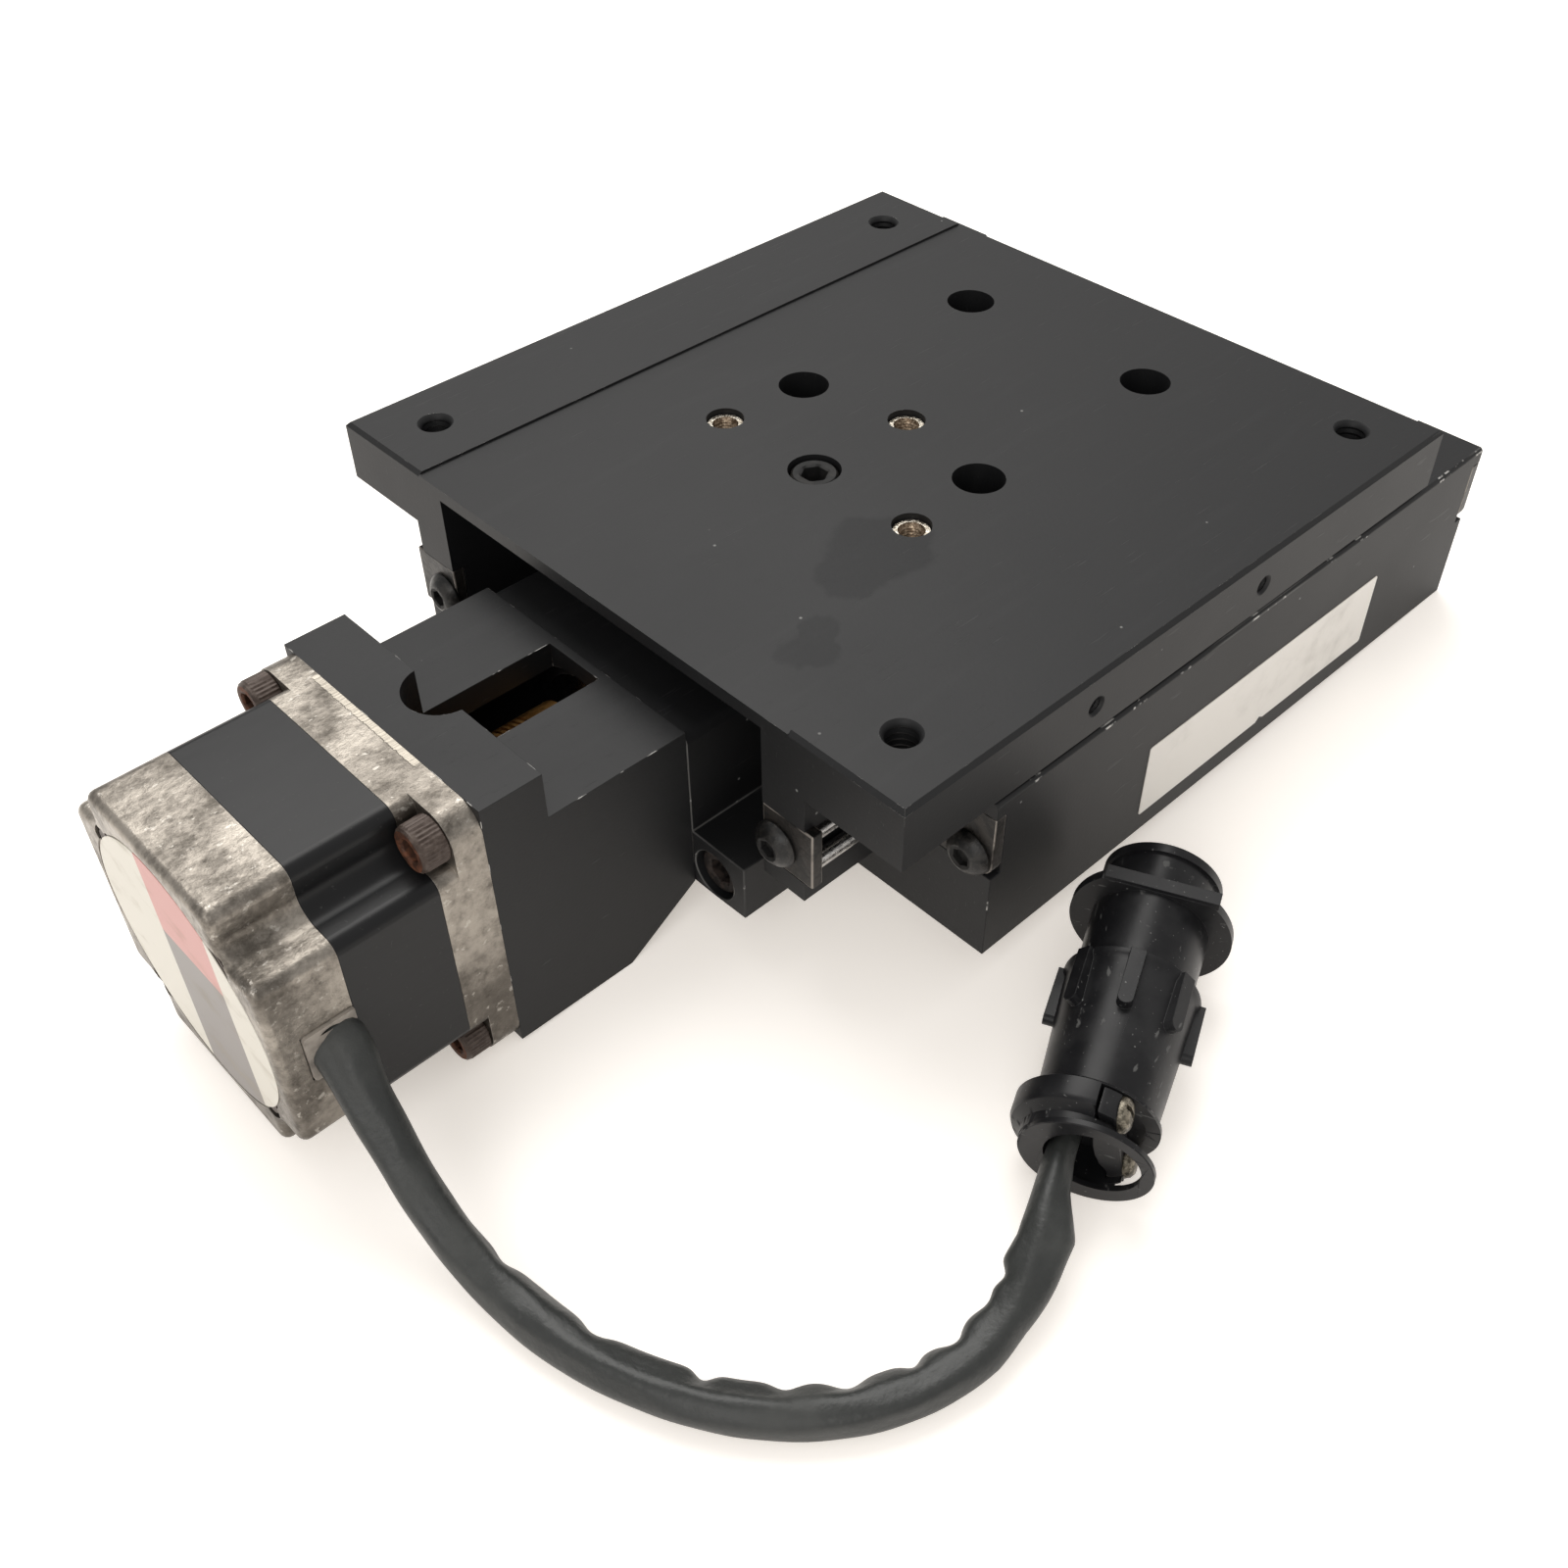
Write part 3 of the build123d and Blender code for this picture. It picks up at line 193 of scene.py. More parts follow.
def lamp(name, place, target, size, power, colour):
    """A square soft lamp that faces a point."""
    data = bpy.data.lights.new(name, "AREA")
    data.shape = "SQUARE"
    data.size = size
    data.energy = power
    data.color = colour
    thing = bpy.data.objects.new(name, data)
    thing.location = place
    thing.rotation_mode = "QUATERNION"
    thing.rotation_quaternion = (Vector(target) - Vector(place)).to_track_quat("-Z", "Y")
    bpy.context.collection.objects.link(thing)


lamp("lamp_over", (0.25, 0.45, 1.0), (0, 0, 0), 0.8, 9.0, (1.0, 0.985, 0.96))
lamp("lamp_side", (-0.9, -0.5, 0.7), (0, 0, 0.02), 0.7, 3.5, (1.0, 0.98, 0.95))
bpy.context.scene.view_settings.view_transform = "Standard"

# ---- Motor cable ---------------------------------------------------------------------------------------
# Eight wires in a limp, dark grey sleeve of shrunk plastic. It leaves the motor downwards, lies on the
# table in one wide bend, is creased where it turns and rises into the plug's clamp.

MM = 0.001
cable_diameter = 7.5 * MM
cable_route = [
    (-120.6, -26.2, 29.9),
    (-121.0, -36.2, 21.2),
    (-121.6, -47.2, 9.8),
    (-121.2, -61.5, 2.4),
    (-119.3, -77.5, 1.05),
    (-115.0, -91.5, 1.25),
    (-107.8, -105.0, 1.6),
    (-97.4, -115.9, 2.15),
    (-84.0, -123.2, 2.8),
    (-68.5, -124.3, 4.3),
    (-52.49, -117.24, 11.57),
    (-35.95, -109.39, 13.42),
]
sleeve_dark = (0.018, 0.02, 0.019, 1)
sleeve_worn = (0.045, 0.047, 0.044, 1)
sleeve_sides = 28


def soft_step(tone, low, high):
    """0 below low, 1 above high and a smooth rise between."""
    return tone.make(
        "ShaderNodeMapRange",
        {"interpolation_type": "SMOOTHSTEP"},
        {"Value": tone, "From Min": low, "From Max": high},
    )


def cloud(place, scale, detail=4.0, roughness=0.55, stretch=(1, 1, 1), shift=(0, 0, 0)):
    """Noise from 0 to 1 over the surface; stretch over 1 squeezes it along an axis."""
    moved = place.make("ShaderNodeMapping", {}, {"Vector": place, "Location": shift, "Scale": stretch})
    return place.make(
        "ShaderNodeTexNoise", {}, {"Vector": moved, "Scale": scale, "Detail": detail, "Roughness": roughness}
    )


def relief(height, distance, strength):
    """A Bump node: a height of 1 stands for this distance in metres."""
    sockets = {"Height": height, "Distance": distance, "Strength": strength}
    return height.make("ShaderNodeBump", {}, sockets)


sleeve, sleeve_shader, place = new_finish("cable_sleeve")
patches = soft_step(cloud(place, 60), 0.45, 0.7)
fine = cloud(place, 900, 3)
feed(
    sleeve_shader,
    Base_Color=blend_colour(patches * 0.7 + fine * 0.3, sleeve_dark, sleeve_worn),
    Roughness=0.42 + patches * 0.18,
    Normal=relief(cloud(place, 260, 5) + fine * 0.3, 0.0004, 0.6),
)

# the route's points pull a smooth curve, which is read as a dense line
line_data = bpy.data.curves.new("cable_line", "CURVE")
line_data.dimensions = "3D"
spline = line_data.splines.new("NURBS")
spline.points.add(len(cable_route) - 1)
for point, (x, y, z) in zip(spline.points, cable_route):
    point.co = (x * MM, y * MM, z * MM, 1)
spline.order_u = 3
spline.use_endpoint_u = True
spline.resolution_u = 24
line_object = bpy.data.objects.new("cable_line", line_data)
line_mesh = bpy.data.meshes.new_from_object(line_object)
cable_line = [vertex.co.copy() for vertex in line_mesh.vertices]
bpy.data.objects.remove(line_object)


def even_line(points, step):
    """Points at equal steps along a line."""
    lengths = [0.0]
    for a, b in zip(points, points[1:]):
        lengths.append(lengths[-1] + (b - a).length)
    count = max(2, round(lengths[-1] / step))
    spaced = []
    at = 0
    for index in range(count + 1):
        goal = lengths[-1] * index / count
        while at < len(points) - 2 and lengths[at + 1] < goal:
            at += 1
        share = (goal - lengths[at]) / max(1e-9, lengths[at + 1] - lengths[at])
        spaced.append(points[at].lerp(points[at + 1], share))
    return spaced


def tube(name, line, sides, radius_at):
    """A closed tube along a line; radius_at gives the radius from the distance, angle and directions."""
    mesh = bmesh.new()
    rings = []
    side = (line[1] - line[0]).orthogonal().normalized()
    distance = 0.0
    for index, centre in enumerate(line):
        ahead = line[min(index + 1, len(line) - 1)] - line[max(index - 1, 0)]
        ahead.normalize()
        side = (side - ahead * side.dot(ahead)).normalized()
        up = ahead.cross(side)
        if index:
            distance += (centre - line[index - 1]).length
        ring = []
        for turn in range(sides):
            angle = 2 * math.pi * turn / sides
            outward = side * math.cos(angle) + up * math.sin(angle)
            ring.append(mesh.verts.new(centre + outward * radius_at(distance, angle, outward, ahead)))
        rings.append(ring)
    for a, b in zip(rings, rings[1:]):
        for turn in range(sides):
            after = (turn + 1) % sides
            mesh.faces.new((a[turn], a[after], b[after], b[turn]))
    mesh.faces.new(list(reversed(rings[0])))
    mesh.faces.new(rings[-1])
    data = bpy.data.meshes.new(name)
    mesh.to_mesh(data)
    mesh.free()
    for face in data.polygons:
        face.use_smooth = len(face.vertices) == 4
    return data


# places in millimetres along the sleeve: it leaves the grommet flat, bends, and ends in the clamp; it is
# pinched on the bend's inner side, and folded outside to corners (place, height, reach before and after)
flat_end = 42
bend_start = 38
bend_end = 148
clamp_start = 150
inner_pinches = (19.0, 46.0, 66.0, 85.0, 98.0, 108.0, 119.0, 127.0, 136.0, 141.0)
outer_corners = ((129.5, 0.3, 7.0, 4.0), (149.3, 1.7, 14.0, 7.0))
lip_side = Vector((0.866, -0.40, 0.32))
clamp_side = Vector((0.43, -0.9, 0.0))
sleeve_play = 0.3
sleeve_widest = 5.6
line_step = 0.6 * MM
line_points = even_line(cable_line, line_step)


def near(at, centre, width):
    """1 at the centre, falling off on both sides over the width."""
    return math.exp(-(((at - centre) / width) ** 2))


def ramp(at, start, length):
    """0 up to the start, 1 from the length after it, and a straight rise between."""
    return min(1.0, max(0.0, (at - start) / length))


def sleeve_radius(distance, angle, outward, ahead):
    """The sleeve's radius: wires show as soft ridges; it is flattened, pinched and folded in places."""
    at = distance / MM
    inward = outward.dot(Vector((-ahead.y, ahead.x, 0)).normalized())
    ridges = 0.13 * math.sin(5 * angle + at * 0.09) + 0.1 * math.sin(3 * angle - at * 0.05)
    wrinkle = 0.18 * noise.noise(outward * 1.4 + Vector((at * 0.12, 0, 0)))
    radius = cable_diameter / MM / 2 - sleeve_play + ridges + wrinkle
    flat = max(0.0, 1 - at / flat_end)
    wide = outward.dot(lip_side)
    radius += flat * (1.2 * wide**2 - 0.5)
    radius += 1.5 * near(at, 3.5, 6.0) * max(0.0, wide) ** 1.5
    radius -= 0.5 * near(at, 0.0, 1.6)
    bend = ramp(at, bend_start, 16) * ramp(at, bend_end, -5)
    flap = 1.0
    for index, pinch in enumerate(inner_pinches):
        flap -= (0.75 + 0.25 * (index % 2)) * near(at, pinch, 1.9 + 0.5 * (index % 3))
    radius += bend * max(0.0, inward) ** 5 * (1.0 * flap + 0.15)
    radius -= bend * 0.5 * (1 - flap) * max(0.0, inward) ** 2
    for corner, height, before, after in outer_corners:
        reach = before if at < corner else after
        radius += height * max(0.0, 1 - abs(at - corner) / reach) * max(0.0, -inward) ** 3
    radius -= ramp(at, clamp_start, 12) * (0.35 + 1.7 * max(0.0, outward.dot(clamp_side)))
    return min(radius, sleeve_widest) * MM


cable = linked_object("cable", tube("cable", line_points, sleeve_sides, sleeve_radius))
cable.data.materials.append(sleeve)
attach(cable, "base")
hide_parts("motor_cable")

# ---- Base channel --------------------------------------------------------------------------------------
# A deep U milled from one aluminium bar and anodised black. Its walls carry the outer slide rods; the
# floor has a trough for the screw and four counterbored holes. Handling has chipped its long edges.

x_base = -22.35
x_base_end = 130.05
half_width = 76.2
base_bottom = 9.5
floor_top = 23.2
wall_top = 46.3
wall_inner = 60.88
wall_chamfer = 0.6
slide_height = 34.9
rod_offset = 3.55
rod_radius = 1.59
rod_reach = rod_offset + rod_radius
channel_depth = 2.0
drive_height = 28.2
cap_thickness = 2.5
cap_play = 0.05
# recesses of the end caps in the walls, the trough in the floor and the holes for bolting the stage down
wall_cap_inner = 59.2
wall_cap_low = 28.8
wall_cap_high = 42.8
trough_half = 16.0
trough_floor = 15.6
bolt_x = (28.45, 79.25)
bolt_y = 23.8
bolt_radius = 3.4
bolt_head_radius = 5.6
bolt_head_depth = 7.2
# the ways that holes and screw heads face
UP = (0, 0, 1)
TO_MOTOR = (-1, 0, 0)
TO_END = (1, 0, 0)
sharp_angle = math.radians(32)
black_low = (0.0052, 0.0054, 0.006, 1)
black_high = (0.0118, 0.012, 0.0129, 1)
bare_aluminium = (0.5, 0.49, 0.47, 1)
dust_white = (0.3, 0.3, 0.29, 1)


def twin_finishes(name):
    """Two new finishes, for faces and for broken edges, each with its shader and surface coordinates."""
    return [new_finish(name), new_finish(name + "_edge")]


def ragged_spot(place, spot, scale, raggedness, inner, outer):
    """1 inside the inner radius round a spot and 0 past the outer one, with a ragged rim."""
    far = place.make("ShaderNodeVectorMath", {"operation": "DISTANCE"}, {0: place, 1: spot}, 1)
    return 1 - soft_step(far + (cloud(place, scale, 4) - 0.5) * raggedness, inner, outer)


def anodised(name, shift, worn, oily=(), chipped=()):
    """Black anodised finish for flat faces, and its broken-edge twin where bare metal shows through."""
    pair = twin_finishes(name)
    for edge, (_, shader, place) in enumerate(pair):
        clouds = cloud(place, 22, 5, 0.6, shift=shift)
        grain = cloud(place, 1600, 2, 0.5, shift=shift)
        wipes = soft_step(cloud(place, 30, 3, 0.5, (1, 9, 1), shift), 0.56, 0.7)
        scratches = soft_step(cloud(place, 95, 2, 0.4, (1.2, 28, 6), shift), 0.7, 0.76)
        cells = place.make(
            "ShaderNodeTexVoronoi", {"feature": "F1"}, {"Vector": place, "Scale": 170, "Randomness": 1.0}
        )
        chance = cloud(place, 33, 2, 0.5, shift=shift)
        specks = (1 - soft_step(cells, 0.03, 0.06)) * soft_step(chance, 0.56, 0.62)
        oil = place.math("MULTIPLY", 0, 0)
        for spot, radius in oily:
            oil = oil + ragged_spot(place, spot, 90, 0.011, radius * 0.78, radius * 1.03)
        oil = oil.least(1)
        colour = blend_colour(clouds * 0.75 + wipes * 0.25 - oil * 0.35, black_low, black_high)
        colour = blend_colour(scratches * 0.05 + specks * 0.7, colour, dust_white)
        metal = oil * 0.3
        if edge:
            chips = soft_step(cloud(place, 210, 3, 0.6, shift=shift), 0.68 - 0.16 * worn, 0.74 - 0.14 * worn)
            rubbed = soft_step(cloud(place, 26, 3, 0.5, shift=shift), 0.5, 0.72) * (0.35 * worn)
            bare = chips.most(rubbed)
            for spot, radius in chipped:
                bare = bare.most(ragged_spot(place, spot, 420, radius * 0.9, radius * 0.85, radius))
            colour = blend_colour(bare, colour, bare_aluminium)
            metal = metal.most(bare * 0.8)
        feed(
            shader,
            Base_Color=colour,
            Metallic=metal,
            Roughness=0.46 + clouds * 0.14 - oil * 0.07 + specks * 0.2,
            Specular_IOR_Level=0.34,
            Normal=relief(grain * 0.6 + scratches * 0.8, 0.00006, 0.5),
        )
    return [finish for finish, _, _ in pair]


def prism(outline, axis, start, stop):
    """A bar of a flat outline, in millimetres: (y, z) points along X, (x, z) along Y, (x, y) along Z."""
    order = {"X": (2, 0, 1), "Y": (0, 2, 1), "Z": (0, 1, 2)}[axis]
    mesh = bmesh.new()
    ends = []
    for at in (start, stop):
        ends.append([mesh.verts.new([(a, b, at)[i] * MM for i in order]) for a, b in outline])
    mesh.faces.new(ends[0])
    mesh.faces.new(list(reversed(ends[1])))
    for index in range(len(outline)):
        after = (index + 1) % len(outline)
        mesh.faces.new((ends[0][index], ends[1][index], ends[1][after], ends[0][after]))
    bmesh.ops.recalc_face_normals(mesh, faces=mesh.faces)
    return mesh


def block(low, high):
    """A box between two corners, in millimetres."""
    outline = [(low[1], low[2]), (high[1], low[2]), (high[1], high[2]), (low[1], high[2])]
    return prism(outline, "X", low[0], high[0])


def turned(rings, origin, direction, sides=48, closed=False):
    """A turned shape from rings, in millimetres: distance along, radius or radius by angle, and paint."""
    frame_turn = Vector(direction).to_track_quat("Z", "Y").to_matrix()
    mesh = bmesh.new()
    loops = []
    for along, shape, *_ in rings:
        if shape == 0:
            loops.append([mesh.verts.new((Vector(origin) + frame_turn @ Vector((0, 0, along))) * MM)])
            continue
        loop = []
        for step in range(sides):
            angle = 2 * math.pi * step / sides
            radius = shape(angle) if callable(shape) else shape
            local = Vector((radius * math.cos(angle), radius * math.sin(angle), along))
            loop.append(mesh.verts.new((Vector(origin) + frame_turn @ local) * MM))
        loops.append(loop)
    pairs = list(zip(loops, loops[1:]))
    if closed:
        pairs.append((loops[-1], loops[0]))
    for (first, second), (_, _, *paint) in zip(pairs, rings):
        for step in range(sides):
            after = (step + 1) % sides
            corners = [first[step % len(first)], first[after % len(first)]]
            corners += [second[after % len(second)], second[step % len(second)]]
            corners = [corner for index, corner in enumerate(corners) if corner not in corners[:index]]
            if len(corners) > 2:
                mesh.faces.new(corners).material_index = paint[0] if paint else 0
    for loop in (loops[0], loops[-1]):
        if not closed and len(loop) > 1:
            mesh.faces.new(loop)
    bmesh.ops.recalc_face_normals(mesh, faces=mesh.faces)
    return mesh


def drilled(origin, direction, radius, depth, sides=56):
    """A plain round cutter that starts a little above the surface."""
    return turned([(0.5, radius), (-depth, radius)], origin, direction, sides)


def joined(meshes):
    """One mesh from several."""
    whole = bmesh.new()
    for mesh in meshes:
        data = bpy.data.meshes.new("part")
        mesh.to_mesh(data)
        whole.from_mesh(data)
        bpy.data.meshes.remove(data)
        mesh.free()
    return whole


def carved(mesh, cutters, operation="DIFFERENCE"):
    """The mesh after each cutter has been taken out of it, or added to it."""
    data = bpy.data.meshes.new("blank")
    mesh.to_mesh(data)
    mesh.free()
    blank = linked_object("blank", data)
    for cutter in cutters:
        tool_data = bpy.data.meshes.new("tool")
        cutter.to_mesh(tool_data)
        cutter.free()
        tool = linked_object("tool", tool_data)
        change = blank.modifiers.new("cut", "BOOLEAN")
        change.operation = operation
        change.solver = "EXACT"
        change.object = tool
        done = bpy.data.meshes.new_from_object(blank.evaluated_get(bpy.context.evaluated_depsgraph_get()))
        blank.modifiers.clear()
        blank.data = done
        bpy.data.objects.remove(tool)
    result = bmesh.new()
    result.from_mesh(blank.data)
    bpy.data.objects.remove(blank)
    return result


def dressed(name, mesh, finishes, body, nodes, edge=0.25, rounds=2):
    """Breaks a mesh's edges, gives it its finishes and puts it in the assembly for its CAD nodes."""
    data = bpy.data.meshes.new(name)
    mesh.to_mesh(data)
    mesh.free()
    for finish in finishes:
        data.materials.append(finish)
    data.shade_smooth()
    thing = linked_object(name, data)
    if edge:
        rounding = thing.modifiers.new("edge", "BEVEL")
        rounding.width = edge * MM
        rounding.segments = rounds
        rounding.limit_method = "ANGLE"
        rounding.angle_limit = sharp_angle
        rounding.material = 1 if len(finishes) > 1 else -1
        rounding.miter_outer = "MITER_ARC"
    else:
        data.set_sharp_from_angle(angle=sharp_angle)
    weighting = thing.modifiers.new("shade", "WEIGHTED_NORMAL")
    weighting.keep_sharp = True
    weighting.weight = 80
    final = bpy.data.meshes.new_from_object(thing.evaluated_get(bpy.context.evaluated_depsgraph_get()))
    final.name = name
    thing.modifiers.clear()
    thing.data = final
    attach(thing, body)
    if nodes:
        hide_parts(*nodes)
    return thing


def coat(node, finish):
    """Gives a CAD node its finish."""
    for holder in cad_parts[node].material_slots:
        holder.material = finish


def cap_recess(x_end, outward, side, inner, outer, low, high):
    """The cutter for the recess of one end cap, in a wall or a leg."""
    start, stop = sorted((x_end + outward, x_end - outward * cap_thickness))
    low_y, high_y = sorted((side * inner, side * outer))
    return block((start, low_y, low), (stop, high_y, high))


base_ends = (("front", x_base, -1), ("rear", x_base_end, 1))
base_outline = [
    (-half_width, base_bottom),
    (half_width, base_bottom),
    (half_width, wall_top - wall_chamfer),
    (half_width - wall_chamfer, wall_top),
    (wall_inner, wall_top),
    (wall_inner, slide_height + rod_reach),
    (wall_inner + channel_depth, slide_height + rod_reach),
    (wall_inner + channel_depth, slide_height - rod_reach),
    (wall_inner, slide_height - rod_reach),
    (wall_inner, floor_top),
    (trough_half, floor_top),
    (trough_half, trough_floor),
]
base_outline += [(-y, z) for y, z in reversed(base_outline[2:])]
base_cutters = []
for side in (-1, 1):
    for _, x_end, outward in base_ends:
        limits = (wall_cap_inner, half_width + 0.8, wall_cap_low, wall_cap_high)
        base_cutters.append(cap_recess(x_end, outward, side, *limits))
    for x in bolt_x:
        mouth = (x, side * bolt_y, floor_top)
        base_cutters.append(drilled(mouth, UP, bolt_head_radius, bolt_head_depth))
        base_cutters.append(drilled(mouth, UP, bolt_radius, 15.0))
base_black = anodised("base_black", (3.1, 0.4, 1.7), 0.55)
base_mesh = carved(prism(base_outline, "X", x_base, x_base_end), base_cutters)
dressed("base", base_mesh, base_black, "base", ["base_channel"])

# ---- Plate on the base's flank -------------------------------------------------------------------------
# A thin white plastic plate stuck to the right wall. It is left bare; its lower edge is nicked.

plate_white = (0.84, 0.8, 0.74, 1)
plate_dirt = (0.5, 0.47, 0.42, 1)
plate_finish, plate_shader, place = new_finish("plate_white")
smudge = soft_step(cloud(place, 55, 5, 0.65), 0.5, 0.8)
feed(
    plate_shader,
    Base_Color=blend_colour(smudge * 0.6, plate_white, plate_dirt),
    Roughness=0.32 + smudge * 0.2,
    Normal=relief(cloud(place, 140, 3), 0.00008, 0.4),
)
plate_outline = [(21.4, 14.3), (58.6, 14.3), (59.6, 15.3), (60.9, 14.5), (95.6, 14.3)]
plate_outline += [(96.0, 14.7), (96.0, 30.9), (95.6, 31.3), (21.4, 31.3), (21.0, 30.9), (21.0, 14.7)]
plate_mesh = prism(plate_outline, "Y", -half_width - 0.18, -half_width + 0.02)
dressed("flank_plate", plate_mesh, [plate_finish], "base", [], 0.06)

# ---- End caps of the base's walls ----------------------------------------------------------------------
# Small steel plates, blackened and rubbed brown, let into both ends of the walls. Each stops two rods
# from creeping out and is held by one button-head screw.

base_button_y = 71.2
base_button_z = 32.3
corner_radius = 0.3
arc_steps = 6
steel_black = (0.012, 0.0115, 0.011, 1)
steel_brown = (0.034, 0.03, 0.027, 1)
steel_rubbed = (0.3, 0.27, 0.24, 1)


def metal(name, low, high, bare, rough, shine=0.9, scale=70, grain=(1, 1, 1), shift=(0, 0, 0)):
    """Worn metal from low to high, with grain and pits, and its broken-edge twin in the bare colour."""
    pair = twin_finishes(name)
    for edge, (_, shader, place) in enumerate(pair):
        drift = cloud(place, scale, 6, 0.65, shift=shift)
        spots = soft_step(cloud(place, scale * 3.4, 5, 0.7, shift=shift), 0.42, 0.62)
        lines = cloud(place, 1100, 2, 0.5, grain, shift)
        colour = blend_colour(soft_step(drift * 0.7 + spots * 0.3, 0.3, 0.62), low, high)
        if edge:
            rubbed = soft_step(cloud(place, 120, 4, 0.6, shift=shift), 0.38, 0.56)
            colour = blend_colour(rubbed * 0.85, colour, bare)
        feed(
            shader,
            Base_Color=colour,
            Metallic=shine,
            Roughness=rough + (drift - 0.5) * 0.3 + (lines - 0.5) * 0.12,
            Normal=relief(lines * 0.35 + spots * 0.3 + drift * 0.3, 0.00018, 0.5),
        )
    return [finish for finish, _, _ in pair]


def rounded(corners):
    """An outline from (a, b, radius) corners, with arcs where the radius isn't 0."""
    outline = []
    for index, (a, b, radius) in enumerate(corners):
        corner = Vector((a, b))
        if not radius:
            outline.append((a, b))
            continue
        before = (Vector(corners[index - 1][:2]) - corner).normalized()
        after = (Vector(corners[(index + 1) % len(corners)][:2]) - corner).normalized()
        half = before.angle(after) / 2
        centre = corner + (before + after).normalized() * (radius / math.sin(half))
        reach = radius / math.tan(half)
        first = corner + before * reach - centre
        last = corner + after * reach - centre
        for step in range(arc_steps + 1):
            outline.append(tuple(centre + first.lerp(last, step / arc_steps).normalized() * radius))
    return outline


def hexagon(across):
    """The radius by angle of a hexagon with this distance across its flats."""
    return lambda angle: across / 2 / math.cos((angle + math.pi / 6) % (math.pi / 3) - math.pi / 6)


def button_screw(place, outward):
    """A quarter-inch button-head screw, seated at a place; its shank points the other way."""
    socket = hexagon(3.2)
    rings = [(-12.0, 2.4), (0, 2.4), (0, 4.5), (0.45, 4.6), (1.0, 4.35), (1.6, 3.85), (2.1, 3.2)]
    rings += [(2.4, 2.7), (2.5, 2.3, 1), (2.3, socket, 1), (1.1, socket, 1), (0.9, 0, 1)]
    return turned(rings, place, outward)


button_low = (0.006, 0.006, 0.006, 1)
button_high = (0.024, 0.022, 0.02, 1)
socket_black = (0.004, 0.004, 0.004, 1)
socket_grey = (0.014, 0.013, 0.012, 1)
cap_steel = metal("cap_steel", steel_black, steel_brown, steel_rubbed, 0.42, 0.5, 90, shift=(2, 7, 1))
button_steel = metal("button_steel", button_low, button_high, steel_rubbed, 0.34, 0.3, 160, shift=(5, 1, 3))
socket_finish = metal("socket", socket_black, socket_grey, socket_grey, 0.7, 0.2)[0]
button_pair = [button_steel[0], socket_finish]
sides = (("right", -1), ("left", 1))


def end_caps(body, ends, corners, button_y, button_z, edge):
    """The end caps of a body's two walls or legs and their screws; corners are (y, z, radius)."""
    buttons = []
    for end_name, x_end, outward in ends:
        for side_name, side in sides:
            outline = rounded([(side * y, z, radius) for y, z, radius in corners])
            cap = prism(outline, "X", x_end, x_end - outward * (cap_thickness - cap_play))
            node = f"{body}_end_cap_{end_name}_{side_name}"
            dressed(f"dressed_{node}", cap, cap_steel, body, [node], edge)
            buttons.append(button_screw((x_end, side * button_y, button_z), (outward, 0, 0)))
    return joined(buttons)


wall_cap_corners = [
    (wall_cap_inner, wall_cap_low, corner_radius),
    (half_width, wall_cap_low, 3.0),
    (half_width, wall_cap_high, corner_radius),
    (wall_cap_inner, wall_cap_high, corner_radius),
]
base_buttons = end_caps("base", base_ends, wall_cap_corners, base_button_y, base_button_z, 0.22)
dressed("base_buttons", base_buttons, button_pair, "base", ["base_end_cap_screws"], 0)

# ---- Slide rods, balls and cages -----------------------------------------------------------------------
# Ground and hardened steel rods lie in pairs in the walls and legs, with steel balls between them in a
# thin bronze cage. Their faces are bright and oily.

ground_low = (0.42, 0.41, 0.4, 1)
ground_high = (0.66, 0.65, 0.63, 1)
ground_bare = (0.8, 0.8, 0.78, 1)
bronze_low = (0.3, 0.16, 0.055, 1)
bronze_high = (0.52, 0.31, 0.11, 1)
bronze_bare = (0.7, 0.5, 0.25, 1)
ground = metal("ground_steel", ground_low, ground_high, ground_bare, 0.2, 1.0, 45, (0.2, 9, 9))
bronze = metal("bronze", bronze_low, bronze_high, bronze_bare, 0.34, 1.0, 80)
for side_name, _ in sides:
    coat(f"base_slide_rods_{side_name}", ground[0])
    coat(f"carriage_slide_rods_{side_name}", ground[0])
    coat(f"slide_balls_{side_name}", ground[0])
    coat(f"ball_cage_{side_name}", bronze[0])

# ---- Carriage table ------------------------------------------------------------------------------------
# An inverted U milled from aluminium plate and anodised black: raised side pads, thin-webbed ends and two
# legs for the rods. Old oil has dried on top in dark patches, and its edges are chipped to the metal.

x_carriage = -45.05
x_carriage_end = 107.35
table_top = 60.3
centre_top = 59.8
pad_inner = 50.8
boss_underside = 48.3
pocket_ceiling = 57.1
pocket_length = 20.0
leg_inner = 44.5
leg_outer = 54.6
leg_bottom = 23.8
pad_underside = 47.6
pad_chamfer = 0.8
leg_cap_low = 28.1
leg_cap_high = 40.5
corner_hole_inset = 12.7
corner_hole_y = 63.5
access_x = (30.35, 81.15)
access_radius = 5.15
insert_x = 10.25
insert_y = 25.4
middle_insert_x = 35.65
insert_hole = 3.8
centre_screw_x = insert_x
centre_head_radius = 5.2
centre_head_depth = 7.05
centre_hole_radius = 3.3
through_table = 20
side_hole_x = (1.35, 49.05)
side_hole_z = 53.3
# tapped holes: radius, depth, radius at the mouth and pitch of the thread
corner_hole = (3.175, 13.5, 3.6, 1.27)
side_hole = (1.9, 10, 2.1, 0.7)
